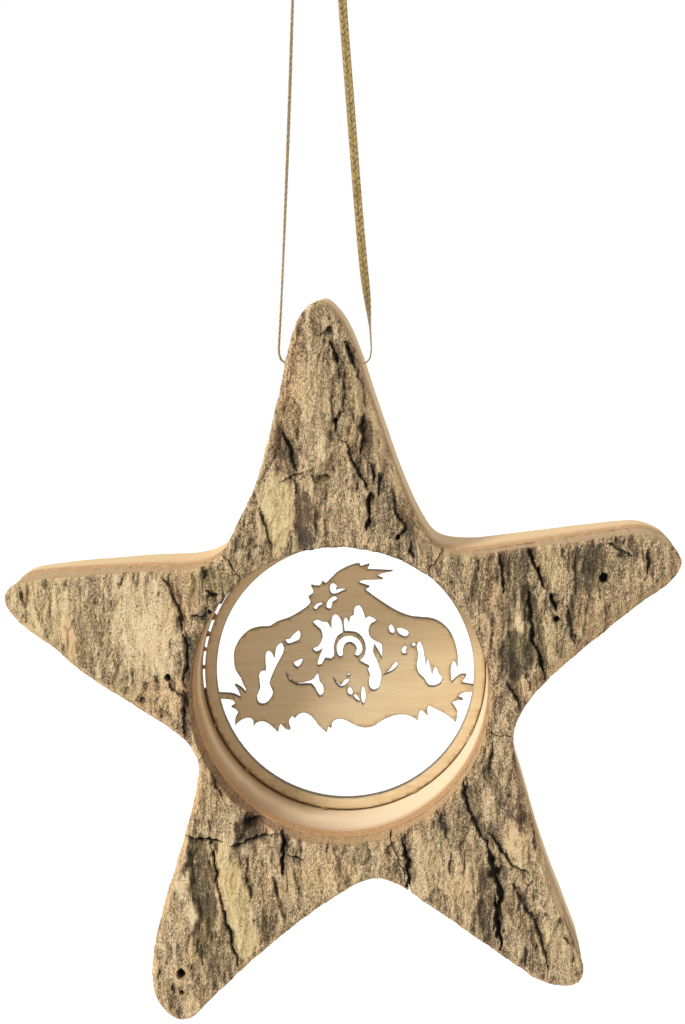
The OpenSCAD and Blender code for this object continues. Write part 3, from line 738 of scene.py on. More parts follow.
# Stretches of a layer's section: the outline's wall, the back, the window's wall and the front
OUTER, BACK, BORE, FRONT = range(4)
# Turns round a layer's rounded edge, and shares of the way across its back and its front
EDGE_TURNS = np.radians((0, 30, 60, 90))
FLAT_SHARES = np.linspace(0, 1, 9)[1:-1]
# Columns round each layer, about how many millimetres apart, and rows down each of its walls
WOOD_COLUMNS, WOOD_STEP, WOOD_ROWS = 1100, 0.4, 24
INNER_COLUMNS, INNER_STEP, INNER_ROWS = 1500, 0.29, 10
# Radius of the inner bark's edges, and its overlap with the wood behind it
INNER_EDGE, INNER_LAP = 0.05, 0.02


def layer_section(crown, radius, count, wall_rows, edge, back):
    """Closed rings of a layer between the outline and the window.

    Column by column round the outline, rows go back along the outer wall, round the outer edge,
    across the back, round the window's edge, forward along the window's wall, and across the
    front. The front lies on the trunk's arc, the back is flat or another trunk's arc. Gives the
    places, each one's share of the depth and stretch, and both walls' directions.
    """
    line = even_line(OUTLINE, count)
    tangent = unit(np.roll(line, -1, axis=0) - np.roll(line, 1, axis=0))
    out = np.stack((tangent[:, 1], -tangent[:, 0]), axis=1)
    heading = np.arctan2(line[:, 1], line[:, 0])
    spoke = np.stack((np.cos(heading), np.sin(heading)), axis=1)
    hole = spoke * WINDOW_R
    wall = np.linspace(0, 1, wall_rows)
    rounding = [(1 - math.cos(turn), -edge * (1 - math.sin(turn))) for turn in EDGE_TURNS]
    rows = [(line, share, 0, OUTER) for share in wall[:-1]]
    rows += [(line - out * edge * away, 1, inset, OUTER) for away, inset in rounding]
    rows += [(mix(line - out * edge, hole + spoke * edge, s), 1, 0, BACK) for s in FLAT_SHARES]
    rows += [(hole + spoke * edge * away, 1, inset, BORE) for away, inset in rounding[::-1]]
    rows += [(hole, share, 0, BORE) for share in wall[-2::-1]]
    rows += [(mix(hole, line, share), 0, 0, FRONT) for share in FLAT_SHARES]
    places, *columns = zip(*rows)
    x, z = np.array(places).transpose(2, 0, 1)
    share, inset, kind = (np.repeat(np.array(values)[:, None], count, axis=1) for values in columns)
    y = mix(trunk(x, crown, radius), back(x) - edge * (share < 1), share) + inset
    return x, y, z, share, kind, out, spoke


def pushed_walls(x, z, kind, out, spoke, push):
    """Moves the outer wall's points along the outline's normals and the window's along its spokes."""
    outer = np.where(kind == OUTER, push, 0)
    inner = np.where(kind == BORE, push, 0)
    x = x + outer * out[:, 0] + inner * spoke[:, 0]
    z = z + outer * out[:, 1] + inner * spoke[:, 1]
    return x, z


class WOODENSTAR_OT_wood(bpy.types.Operator):
    """Builds the pale wood of the slab, with its bored window and its sawn back"""

    bl_idname = "woodenstar.wood"
    bl_label = "Pale wood"

    def execute(self, context):
        x, y, z, share, kind, out, spoke = layer_section(
            WOOD_CROWN, WOOD_TRUNK_R, WOOD_COLUMNS, WOOD_ROWS,
            context.scene.star_sizes.wood_edge * MM, lambda at: np.full(at.shape, BACK_Y),
        )
        # Saw marks go through the slab on its outer wall, and drill marks go round the window
        run = np.arange(WOOD_COLUMNS) * WOOD_STEP + 0 * y
        sawn = waves(run, y, (0.03, 0.9, 9, 61), (0.04, 5, 6, 62))
        drilled = waves(run, y, (0.015, 9, 0.8, 63))
        push = np.where(kind == OUTER, sawn, drilled) * smooth(share * 6) - 0.04 * (kind == OUTER)
        x, z = pushed_walls(x, z, kind, out, spoke, push)
        # Orange fades in from the bark. In the window the wall has painted shade on its left, in
        # orange and brown, and a pale painted highlight on its lower right and in a wavering ring at
        # half depth
        heading, bore_and_highlight = np.arctan2(z, x), kind == BORE
        rind = smooth(1.05 - share * np.where(bore_and_highlight, 4.5, 2.6)) * (kind != BACK)
        shaded = bore_and_highlight * smooth(0.3 - 0.9 * np.cos(heading) - 0.2 * np.sin(heading))
        painted_shade = bore_and_highlight * smooth(0.15 - 1.1 * np.cos(heading) - 0.15 * np.sin(heading))
        wander = waves(run, y, (0.06, 12, 30, 64), (0.03, 2.5, 2, 65))
        painted_light_band = bore_and_highlight * np.exp(-((share - 0.5 + wander) / 0.25) ** 2)
        marks = {
            "rind": np.maximum(rind, 0.7 * shaded * (1 - 0.7 * painted_light_band)),
            "bore_and_highlight": np.maximum(bore_and_highlight * smooth(0.5 + 0.7 * np.cos(heading - 5.2)), 0.95 * painted_light_band),
            "painted_shade": 0.75 * painted_shade * (1 - painted_light_band),
        }
        piece = new_piece(
            "pale_wood_star", placed(x, y, z), grid_faces(*x.shape), wood_material(context),
            marks, sharp=40,
        )
        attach(piece, "ornament")
        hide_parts("star_core")
        return {"FINISHED"}


class WOODENSTAR_OT_inner_bark(bpy.types.Operator):
    """Builds the inner bark between the wood and the outer bark, with its granular cut edge"""

    bl_idname = "woodenstar.inner_bark"
    bl_label = "Inner bark"

    def execute(self, context):
        x, y, z, _, kind, out, spoke = layer_section(
            INNER_CROWN, INNER_TRUNK_R, INNER_COLUMNS, INNER_ROWS, INNER_EDGE,
            lambda at: trunk(at, WOOD_CROWN, WOOD_TRUNK_R) + INNER_LAP,
        )
        run = np.arange(INNER_COLUMNS) * INNER_STEP + 0 * y
        grains = 0.06 * rough(run / 0.7, y / 0.7, 71) + 0.05 * noise(run / 2.5, y / 1.2, 72)
        push = np.where(kind == BORE, 0.5, 1) * grains - np.where(kind == OUTER, 0.02, -0.02)
        x, z = pushed_walls(x, z, kind, out, spoke, push)
        piece = new_piece(
            "inner_bark_layer", placed(x, y, z), grid_faces(*x.shape), inner_bark_material(context),
            {"grains": rough(run / 1.2, y / 0.8, 73) * 0.5 + 0.5}, sharp=60,
        )
        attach(piece, "ornament")
        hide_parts("inner_bark")
        return {"FINISHED"}


def wood_material(context):
    """Pale sapwood: growth lines round the trunk's axis, pores along it, orange next to the bark."""
    colours = context.scene.star_colours
    made, tree, shader = new_material("Sawn sapwood", 0.72)
    lines = use_group(tree, "Growth lines", Lines_per_mm=0.75, Waviness=0.35)
    fibres = use_group(tree, "Tree fibres", Streaks=0.8, Grains=0.5)
    base = tint(tree, colours.sapwood, lines["Band"], 0.6, colours.growth)
    base = blend(tree, over(tree, lines["Pores"], 0.55, 1.2), base, colours.growth)
    shade = maths(tree, "ADD", fibres["Shade"], 0.5, clamp=True)
    base = tint(tree, base, shade, 0.3, colours.growth, "MULTIPLY")
    # Painted highlight: pale on the window's lower right and in a ring at half its depth
    base = tint(tree, base, attribute(tree, "bore_and_highlight"), 0.75, colours.bored)
    # Orange next to the bark, and painted shade in orange on the window's left wall
    base = tint(tree, base, attribute(tree, "rind"), 0.6, colours.inner_bark)
    # Painted shade: darker brown on the window's left wall, a little more on the growth lines
    wear_and_shade = maths(tree, "MULTIPLY_ADD", lines["Band"], 0.15, 0.68)
    brown = times(tree, attribute(tree, "painted_shade"), wear_and_shade)
    base = tint(tree, base, brown, 0.8, colours.inner_dark)
    height = maths(tree, "MULTIPLY_ADD", lines["Band"], 0.3, fibres["Height"])
    dress(tree, shader, base, height, 0.05)
    return made


def inner_bark_material(context):
    """Orange inner bark: light and dark grains in layers that follow the trunk."""
    colours = context.scene.star_colours
    made, tree, shader = new_material("Inner bark", 0.85)
    lines = use_group(tree, "Growth lines", Lines_per_mm=1.6, Waviness=0.8)
    grain = speckle(tree, (3.5, 3.5, 3.0), 3.0, 0.65)
    base = tint(tree, colours.inner_bark, lines["Band"], 0.25, colours.inner_dark)
    base = tint(tree, base, over(tree, grain, 0.5, 3.0), 0.6, colours.inner_dark)
    base = blend(tree, over(tree, attribute(tree, "grains"), 0.55, 1.6), base, colours.sapwood)
    dress(tree, shader, base, grain, 0.12)
    return made


# The outer bark

# How deep a beetle hole goes, and the lowest and highest that the bark's front may be
HOLE_HEIGHT = -2.6
LOWEST, HIGHEST = -3.2, 0.4
# Overlap of the bark with the inner bark behind it, its least thickness, and rows down its wall
BARK_LAP, BARK_LEAST, BARK_ROWS = 0.03, 0.4, 7


def groove(x, z, points, width, seed):
    """Where a ragged groove lies: its depth's share, the stretch beside it, which dips and takes
    painted shade, and the lip along it.

    The line is straight between its points, and splinters along the fibres break it up. The groove
    swells and narrows along its run and shrinks to nothing at both ends. The ground stands higher
    by the lip on its upper left and lower on its lower right, as where one plate ends on the next.
    """
    points = np.asarray(points, float)
    sx = x + waves(x, z, (0.3, 1.4, 1.9, seed), (0.17, 0.45, 0.8, seed + 1))
    sz = z + waves(x, z, (0.3, 1.3, 1.2, seed + 2))
    nearest = np.full(x.shape, FAR)
    along = np.zeros(x.shape)
    side = np.zeros(x.shape)
    covered = 0.0
    for start, end in zip(points[:-1], points[1:]):
        t, d = beside_segment(sx, sz, start, end)
        right, down = end[0] - start[0], start[1] - end[1]
        length = math.hypot(right, down)
        turn = 1 if down - 0.6 * right > 0 else -1
        beside = turn * (down * (sx - start[0]) + right * (sz - start[1])) / length
        side = np.where(d < nearest, beside, side)
        along = np.where(d < nearest, covered + t * length, along)
        nearest = np.minimum(nearest, d)
        covered += length
    taper = np.clip(np.minimum(along, covered - along) / (0.3 * covered) + 0.25, 0, 1)
    swell = 1 + waves(along, 0 * along, (0.55, 1.5, 1, seed + 3), (0.35, 0.5, 1, seed + 4))
    share = min(width / 1.3, 1)
    splinter = 0.85 - 0.2 * share + (0.25 + 0.75 * share) * noise(sx / 0.34, z / 2.2, seed + 5)
    half = width / 2 * taper * swell * np.maximum(splinter, 0.05)
    inside = np.clip(1 - nearest / half, 0, 1)
    shade_beside = np.clip(1 - nearest / (1.4 * width + 0.7), 0, 1) * taper
    lip = -np.clip(side / 0.25, -1, 1) * smooth(1 - nearest / 1.7) * taper
    return inside, shade_beside, lip


def patch(x, z, middle, half, tilt, seed):
    """1 inside a ragged oval and 0 outside it. Its edge is frayed along the tree's fibres."""
    turn = math.radians(tilt)
    dx, dz = x - middle[0], z - middle[1]
    across = (dx * math.cos(turn) + dz * math.sin(turn)) / half[0]
    along = (dz * math.cos(turn) - dx * math.sin(turn)) / half[1]
    reach = np.sqrt(across**2 + along**2)
    reach = reach + 0.22 * rough(dx / 1.5, dz / 4, seed) + 0.13 * noise(dx / 0.4, dz / 2, seed + 5)
    return smooth((1.1 - reach) / 0.4)


def nearby(x, z, points, margin):
    """The part of the grid that lies within margin of some points, as two slices."""
    points = np.asarray(points, float).reshape(-1, 2)
    low, high = points.min(axis=0) - margin, points.max(axis=0) + margin
    rows = np.searchsorted(z[:, 0], (low[1], high[1]))
    columns = np.searchsorted(x[0], (low[0], high[0]))
    return slice(*rows), slice(*columns)


def terraces(t, climb):
    """Steps of height 1: level, then a climb over the given share of each step."""
    level = np.floor(t)
    return level + smooth((t - level) / climb)


def bevel(x, z, edge):
    """How far the bark's cut edge slopes back, in millimetres, how much of it is bare, and its lines.

    A narrow uneven slope runs all round. Wider ones lie between two directions from the window.
    """
    angle = np.arctan2(z, x)
    heading = np.degrees(angle) % 360
    width = 0.7 + waves(x, z, (0.4, 2.8, 2.8, 83), (0.15, 0.7, 0.7, 84))
    drop = 0.4 * smooth(1 - edge / width)
    bare = 0.85 * smooth(1 - edge / (width + 0.25))
    uneven = 1 + waves(x, z, (0.18, 3.5, 3.5, 85), (0.08, 0.8, 0.8, 86))
    for start, end, reach, depth in BEVELS:
        inside = smooth((heading - start) / 4) * smooth((end - heading) / 4)
        slope = np.clip(1 - edge / (reach * uneven), 0, 1)
        drop = np.maximum(drop, inside * depth * slope)
        bare = np.maximum(bare, inside * smooth(slope * 5))
    around = angle * 30
    lines = noise(edge * 2.6 + 0.5 * noise(x / 5, z / 5, 89), around / 7, 90)
    return drop, bare, lines + 0.5 * noise(edge * 6, around / 4, 91)


def bark_relief(x, z):
    """Height of the bark over the trunk's arc and its marks on a grid.

    Plates are random cells stretched up the tree, each at its own height. Terraces of stretched
    noise make the torn flakes on them, and narrow streaks, pits, crumbs and fibres the rest.
    Named patches smooth, raise and colour their part, and fissures and beetle holes come last.
    """
    # Wavering places, so that no plate or fibre runs straight
    sx = x + waves(x, z, (0.5, 3.2, 8, 11), (0.22, 0.9, 2, 12), (0.1, 0.4, 0.7, 15))
    sz = z + waves(x, z, (0.9, 3.6, 5, 13), (0.35, 0.9, 1.3, 14))
    even, lift, tone, rind, moss = (np.zeros(x.shape) for _ in range(5))
    for number, (middle, half, tilt, flat, up, light, orange, green) in enumerate(PATCHES):
        part = nearby(x, z, middle, 1.4 * max(half))
        here = patch(x[part], z[part], middle, half, tilt, 400 + 9 * number)
        even[part] = np.maximum(even[part], flat * here)
        for field, amount in ((lift, up), (tone, light), (rind, orange), (moss, green)):
            field[part] += amount * here
    # Plates and the flakes on them, fainter on smooth patches
    broken = 1 - 0.7 * even
    inside, plate = cells(sx / 4.6, sz / 12, 21)
    seam = smooth(1 - inside / 0.09) * smooth(1.6 * noise(x / 3, z / 5, 22) - 0.1)
    flake = terraces(2.1 * rough(sx / 3.4, sz / 10, 23) + plate, 0.1)
    small = terraces(2.6 * rough(sx / 1.3, sz / 4.2, 26, 2), 0.2)
    height = waves(x, z, (0.22, 9, 17, 1), (0.12, 4, 8, 2))
    height += broken * ((plate - 0.5) * 0.6 * smooth(inside / 0.1) + 0.28 * flake + 0.14 * small)
    # Streaks and pits go in, fibres and crumbs stand out
    streak = smooth((noise(sx / 0.5, sz / 4.2, 31) - 0.3) / 0.2)
    streak *= smooth(0.5 + noise(x / 4, z / 7, 32))
    pit = smooth((noise(x / 0.8, z / 1.3, 33) - 0.42) / 0.22)
    pit *= smooth(0.4 + 1.2 * noise(x / 3, z / 4, 34))
    height -= broken * (0.34 * seam + 0.26 * streak + 0.2 * pit)
    fibre = 1.4 * smooth((noise(sx / 0.4, sz / 3.4, 41) + 0.12) / 0.24) - 0.7
    fibre += 0.7 * noise(sx / 0.95, sz / 8, 42)
    crumbs = waves(x, z, (1, 0.36, 0.42, 43), (0.8, 0.75, 0.9, 44))
    height += 0.045 * fibre * (0.6 + 0.7 * even) + 0.08 * crumbs * (broken - 0.15) + lift
    # Painted shade darkens the seams, streaks and pits
    dark = broken * (0.5 * seam + 0.3 * streak + 0.3 * pit)
    # Fissures, with the lip beside them and painted shade in them and beside them, reaching farther on
    # the lower right, away from the light
    fissure_shade = np.zeros(x.shape)
    for number, (points, width, depth) in enumerate(FISSURES):
        part = nearby(x, z, points, width + 2.2)
        here, around, lip = groove(x[part], z[part], points, width, 600 + 11 * number)
        height[part] += (0.1 + 0.2 * depth) * lip - 0.75 * depth * smooth(here * 1.4)
        height[part] -= 0.2 * depth * smooth(around)
        dark[part] = np.maximum(dark[part], smooth(here * 2) * min(0.85, 0.15 + 0.4 * depth))
        shade_beside = smooth(around * 1.2 - 0.3 * lip) * min(1, 0.35 + 0.4 * depth)
        fissure_shade[part] = np.maximum(fissure_shade[part], shade_beside)
    # Beetle holes sink in, with painted shade inside them
    for number, (middle, across) in enumerate(BEETLE_HOLES):
        part = nearby(x, z, middle, across)
        away = np.hypot(x[part] - middle[0], 0.8 * (z[part] - middle[1]))
        away = away + waves(x[part], z[part], (0.09, 0.5, 0.5, 900 + number))
        here = smooth((across / 2 - away) / 0.14 + 0.5)
        height[part] = mix(height[part], HOLE_HEIGHT, here)
        dark[part] = np.maximum(dark[part], here)
    tone = tone - 0.2 * fissure_shade + 0.07 * (plate - 0.5) + 0.05 * fibre + 0.04 * crumbs * broken
    tone = tone + 0.1 * (scatter(np.floor(flake * 1.01), np.floor(flake * 0), 27) - 0.5)
    rind = rind + 0.25 * smooth(2 * (plate - 0.6))
    return height, dark, tone, rind, moss


def bark_marks(x, z, relief, bare, lines, spacing):
    """The marks that the bark's material reads: tone, crack, orange rind and green bloom.

    What stands out of its surroundings gets a painted highlight, and what lies in them painted shade.
    """
    height, dark, tone, rind, moss = relief
    # Height above the ground close by, and above that farther round
    close, wide = (height - soften(height, max(1, round(r / spacing))) for r in (0.5, 1.6))
    window = np.hypot(x, z) - WINDOW_R
    shade = 0.51 + tone + 0.08 * noise(x / 5, z / 11, 51) + 0.05 * rough(x / 1.1, z / 2.6, 52)
    # Raised bark gets a painted highlight and sunken bark painted shade
    shade += np.clip(0.5 * close, -0.15, 0.13) + np.clip(0.2 * wide, -0.18, 0.12)
    flecks = smooth((noise(x / 0.5, z / 0.7, 53) - 0.55) / 0.2) * smooth(noise(x / 4, z / 6, 54) * 2)
    # Light flecks, the pale bare edge and its lines, and a painted light gradient, lighter on the left
    # where the light comes from
    shade += 0.3 * flecks + 0.1 * bare + 0.12 * bare * lines - 0.0014 * x
    # Orange on the bare edge, most of all below, and round the window's lower half
    lower = smooth(0.75 - 0.6 * np.sin(np.arctan2(z, x) - 0.4))
    near_window = smooth((1.1 + 0.6 * noise(x / 1.5, z / 1.5, 56) - window) / 0.9)
    rind = rind + bare * (0.5 + 0.5 * lower) + 0.8 * near_window * smooth(0.3 - z / 12)
    rind = rind + 0.4 * smooth(noise(x / 5, z / 8, 57) * 2.2 - 0.2)
    moss = moss * smooth(0.75 + 0.8 * noise(x / 1.1, z / 1.6, 58))
    moss = moss + 0.25 * smooth(noise(x / 6, z / 8, 59) * 2 - 0.3)
    # Painted shade in the hollows, and the torn edge over the window
    dark = (dark + 0.7 * smooth((-close - 0.16) / 0.4)) * (1 - 0.5 * bare)
    torn = smooth(1 - window / (0.5 + 0.25 * noise(x / 0.9, z / 0.9, 60))) * smooth(z / 9)
    marks = {"tone": shade, "crack": dark + 0.75 * torn, "rind": rind, "moss": moss}
    return {label: np.clip(values, 0, 1) for label, values in marks.items()}


def neck_side(x, z, angle, seed):
    """Distance to the left of a neck's crack, which wanders about a line from the window's centre."""
    turn = math.radians(angle)
    across = -x * math.sin(turn) + z * math.cos(turn)
    along = x * math.cos(turn) + z * math.sin(turn)
    wander = 0.4 * noise(along / 2.1, 0 * along, seed)
    return across + wander + 0.2 * noise(along / 0.7, across / 3, seed + 1)


def clip_sheet(x, z, outside):
    """Cells of a grid that lie inside, and their corners moved onto the edge where they cross it.

    A cell stays where its middle is inside. Corners on the edge go down the slope of the distance
    by as much as they are away from it. Gives the corners' places, the cells as corner numbers,
    the grid place of each corner, the edge as pairs of corners with the inside on their left, and
    the numbers of the corners on it.
    """
    away = outside(x, z)
    keep = (away[:-1, :-1] + away[1:, :-1] + away[:-1, 1:] + away[1:, 1:]) / 4 < 0
    # Cells that touch another at a corner only, or fewer than two by a side, are left out
    for _ in range(3):
        a, b, c, d = keep[:-1, :-1], keep[:-1, 1:], keep[1:, :-1], keep[1:, 1:]
        for i, j in np.argwhere((a & d & ~b & ~c) | (~a & ~d & b & c)):
            keep[i:i + 2, j:j + 2] = False
        beside = keep[:-2, 1:-1].astype(int) + keep[2:, 1:-1] + keep[1:-1, :-2] + keep[1:-1, 2:]
        keep[1:-1, 1:-1] &= beside > 1
    at = np.full(x.shape, -1)
    used = np.zeros(x.shape, bool)
    for di in (0, 1):
        for dj in (0, 1):
            used[di:di + keep.shape[0], dj:dj + keep.shape[1]] |= keep
    at[used] = np.arange(used.sum())
    a, b, c, d = at[:-1, :-1], at[:-1, 1:], at[1:, 1:], at[1:, :-1]
    kept = np.stack((a[keep], b[keep], c[keep], d[keep]), axis=1)
    # A cell's side is on the edge where the cell beyond it isn't kept
    ring = np.pad(keep, 1)
    below, right = ring[:-2, 1:-1], ring[1:-1, 2:]
    above, left = ring[2:, 1:-1], ring[1:-1, :-2]
    edges = np.concatenate([
        np.stack((start[keep & ~beyond], end[keep & ~beyond]), axis=1)
        for start, end, beyond in ((a, b, below), (b, c, right), (c, d, above), (d, a, left))
    ])
    # Corners on the edge move by at most 0.8 of a cell each way
    px, pz = x[used].astype(float), z[used].astype(float)
    rim = np.unique(edges)
    reach = 0.8 * (x[0, 1] - x[0, 0])
    small = 0.02
    home_x, home_z = px[rim].copy(), pz[rim].copy()
    for _ in range(3):
        rx, rz = px[rim], pz[rim]
        now = outside(rx, rz)
        gx = (outside(rx + small, rz) - outside(rx - small, rz)) / (2 * small)
        gz = (outside(rx, rz + small) - outside(rx, rz - small)) / (2 * small)
        size = np.maximum(gx**2 + gz**2, 0.2)
        px[rim] = np.clip(rx - now * gx / size, home_x - reach, home_x + reach)
        pz[rim] = np.clip(rz - now * gz / size, home_z - reach, home_z + reach)
    return px, pz, kept, used, edges, rim


def walled_sheet(px, pz, front, back, kept, edges, rim, seed):
    """A closed piece from a clipped grid: its front, its back, and a rough wall of rows between.

    The wall's rows are pulled in from the rim by noise along the sheet's own outward direction.
    Gives the points, the faces and each point's share of the way down the wall.
    """
    count, lip = len(px), len(rim)
    p, q = edges.T
    out = np.zeros((2, count))
    for end in (p, q):
        np.add.at(out[0], end, pz[q] - pz[p])
        np.add.at(out[1], end, px[p] - px[q])
    out_x, out_z = (out / np.maximum(np.hypot(*out), 1 / FAR))[:, rim]
    x, y, z = [px, px], [front, back], [pz, pz]
    number = np.zeros(count, int)
    number[rim] = np.arange(lip)
    # Corner numbers of the rim on the front, on each row of the wall and on the back
    levels = [np.arange(count)]
    for row in range(1, BARK_ROWS):
        share = row / BARK_ROWS
        depth = mix(front[rim], back[rim], share)
        pull = 0.10 + 0.09 * rough(px[rim] / 0.8 + pz[rim] / 1.9, depth / 0.7 + pz[rim] / 0.9, seed)
        pull = pull * math.sin(math.pi * share) ** 0.5
        x.append(px[rim] - pull * out_x)
        y.append(depth)
        z.append(pz[rim] - pull * out_z)
        levels.append(2 * count + (row - 1) * lip + number)
    levels.append(np.arange(count) + count)
    faces = [kept, kept[:, ::-1] + count]
    for near, far in zip(levels, levels[1:]):
        faces.append(np.stack((near[q], near[p], far[p], far[q]), axis=1))
    points = placed(np.concatenate(x), np.concatenate(y), np.concatenate(z))
    shares = np.repeat(np.arange(1, BARK_ROWS) / BARK_ROWS, lip)
    return points, np.concatenate(faces), np.concatenate((np.zeros(2 * count), shares))


def piece_marks(marks, px, pz, used, rim, shares):
    """A bark piece's marks: the grid's on its front and back, and broken bark's down its wall."""
    rows = BARK_ROWS - 1
    deep = smooth(shares * 5)
    held = {}
    for label, values in marks.items():
        top = values[used]
        held[label] = np.concatenate((top, top, np.tile(top[rim], rows)))
    # On the window's wall the bark is darker towards the left, as painted shade
    bored = np.hypot(px[rim], pz[rim]) < WINDOW_R + 1
    wall_tone = 0.72 - 0.4 * bored * smooth(-1.2 * px[rim] / WINDOW_R)
    wall_tone = np.concatenate((np.zeros(2 * len(px)), np.tile(wall_tone, rows)))
    held["tone"] = mix(held["tone"], wall_tone, deep * 0.85)
    for label, broken in (("rind", 1.0), ("crack", 0.0), ("moss", 0.0)):
        held[label] = mix(held[label], broken, deep)
    return held


class WOODENSTAR_OT_bark(bpy.types.Operator):
    """Builds the five pieces of outer bark, with their plates, fissures and broken edges"""

    bl_idname = "woodenstar.bark"
    bl_label = "Outer bark"

    def execute(self, context):
        sizes = context.scene.star_sizes
        spacing = sizes.bark_spacing * MM
        gap = sizes.neck_crack * MM / 2
        low, high = OUTLINE.min(axis=0) - 1, OUTLINE.max(axis=0) + 1
        x, z = np.meshgrid(np.arange(low[0], high[0], spacing), np.arange(low[1], high[1], spacing))
        relief = bark_relief(x, z)
        drop, bare, lines = bevel(x, z, -from_outline(x, z))
        marks = bark_marks(x, z, relief, bare, lines, spacing)
        # The relief less the cut edge's slope, and chipped where it meets the window
        chip = 0.3 + waves(x, z, (0.4, 1.6, 1.6, 81), (0.2, 0.6, 0.6, 87))
        height = relief[0] * sizes.bark_relief * (1 - 0.75 * bare) - drop + 0.09 * bare * lines
        height -= np.maximum(chip, 0) * smooth(1 - (np.hypot(x, z) - WINDOW_R) / 0.6)
        height = np.clip(height, LOWEST, HIGHEST)
        material = bark_material(context)
        for number, arm in enumerate(ARMS):
            start, end = NECK_ANGLES[number], NECK_ANGLES[(number + 1) % len(ARMS)]

            def outside(ax, az, start=start, end=end):
                """Distance outside this arm's piece: past the rim, the window or either crack."""
                wear_and_shade = 0.06 + waves(ax, az, (0.1, 1.7, 1.7, 82), (0.05, 0.5, 0.5, 88))
                past_rim = from_outline(ax, az) + wear_and_shade
                in_window = WINDOW_R + 0.08 + 1.3 * wear_and_shade - np.hypot(ax, az)
                past_start = gap - neck_side(ax, az, start, 100 + start)
                past_end = gap + neck_side(ax, az, end, 100 + end)
                return np.maximum.reduce((past_rim, in_window, past_start, past_end))

            px, pz, kept, used, edges, rim = clip_sheet(x, z, outside)
            back = trunk(px, INNER_CROWN, INNER_TRUNK_R) + BARK_LAP
            front = trunk(px, BARK_CROWN, BARK_TRUNK_R) - height[used]
            front = np.minimum(front, back - BARK_LEAST)
            points, faces, shares = walled_sheet(px, pz, front, back, kept, edges, rim, 120 + number)
            held = piece_marks(marks, px, pz, used, rim, shares)
            piece = new_piece("bark_" + arm, points, faces, material, held, sharp=75)
            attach(piece, "ornament")
            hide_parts(arm + "_bark")
        return {"FINISHED"}


def bark_material(context):
    """Weathered bark: five tones by the mesh's marks, streaks up the tree, orange where it broke."""
    colours = context.scene.star_colours
    made, tree, shader = new_material("Weathered bark", 0.88)
    fibres = use_group(tree, "Tree fibres", Streaks=1.15, Grains=2.6)
    tone = maths(tree, "ADD", attribute(tree, "tone"), fibres["Shade"])
    ramp = add_node(tree, "ShaderNodeValToRGB", {"Fac": tone})
    stops = (
        (0.0, colours.bark_dark), (0.26, colours.bark_low), (0.5, colours.bark_mid),
        (0.74, colours.bark_light), (1.0, colours.bark_pale),
    )
    bar = ramp.color_ramp.elements
    while len(bar) < len(stops):
        bar.new(0.5)
    for stop, (place, shade) in zip(bar, stops):
        stop.position = place
        stop.color = opaque(shade)
    ripe = over(tree, tone, 0.25, 2.2)
    orange = blend(tree, ripe, colours.inner_dark, colours.rind)
    amount = maths(tree, "MULTIPLY_ADD", ripe, 0.4, 0.45)
    base = tint(tree, ramp.outputs["Color"], attribute(tree, "rind"), amount, orange)
    base = tint(tree, base, attribute(tree, "moss"), 0.36, colours.moss)
    # The crack mark paints shade into the bark's cracks, holes and hollows, and darkens the torn edge
    # over the window
    base = tint(tree, base, attribute(tree, "crack"), 0.88, colours.bark_dark)
    dress(tree, shader, base, fibres["Height"], 0.09)
    return made


# The cut-out sheet

# Spacing of the extra edges that let the sheet's faces hold their halo, and the halo's farthest
# distance from a cut, in millimetres
SHEET_STEP = 0.9
HALO_REACH = 3
# How near a corner is to a flat level when it lies in it, in metres
LEVEL = 1e-6


def cut_edges(work, depth):
    """The edges of a flat face's cut walls at a depth, as start and end places in millimetres."""
    ends = []
    for edge in work.edges:
        one, other = (vert.co for vert in edge.verts)
        if abs(one.y - depth) < LEVEL and abs(other.y - depth) < LEVEL:
            if any(abs(face.normal.y) < 0.5 for face in edge.link_faces):
                ends.append((one.x, one.z, other.x, other.z))
    return np.array(ends) * MM


class WOODENSTAR_OT_panel(bpy.types.Operator):
    """Builds the thin laser-cut sheet, with its cut walls burnt and its faces lightly smoked"""

    bl_idname = "woodenstar.panel"
    bl_label = "Cut-out sheet"

    def execute(self, context):
        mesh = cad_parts["scene_panel"].data.copy()
        mesh.name = "cut_out_sheet"
        work = welded(mesh)
        ends = cut_edges(work, PANEL_FRONT / MM)
        step = SHEET_STEP / MM
        for axis, normal in ((0, (1, 0, 0)), (2, (0, 0, 1))):
            low, high = panel_low[axis] / MM, panel_high[axis] / MM
            for level in np.arange(low + step / 2, high, step):
                place = [n * level for n in normal]
                whole = [*work.verts, *work.edges, *work.faces]
                bmesh.ops.bisect_plane(work, geom=whole, plane_co=place, plane_no=normal, dist=1e-7)
        bmesh.ops.triangulate(work, faces=work.faces)
        for face in work.faces:
            face.smooth = True
        work.to_mesh(mesh)
        work.free()
        places = mesh_places(mesh)
        away = from_segments(places[:, 0], places[:, 2], ends)
        add_mark(mesh, "away", np.minimum(away, HALO_REACH))
        mesh.set_sharp_from_angle(angle=math.radians(50))
        mesh.materials.clear()
        mesh.materials.append(panel_material(context))
        piece = show("cut_out_sheet", mesh)
        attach(piece, "ornament")
        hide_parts("scene_panel")
        return {"FINISHED"}


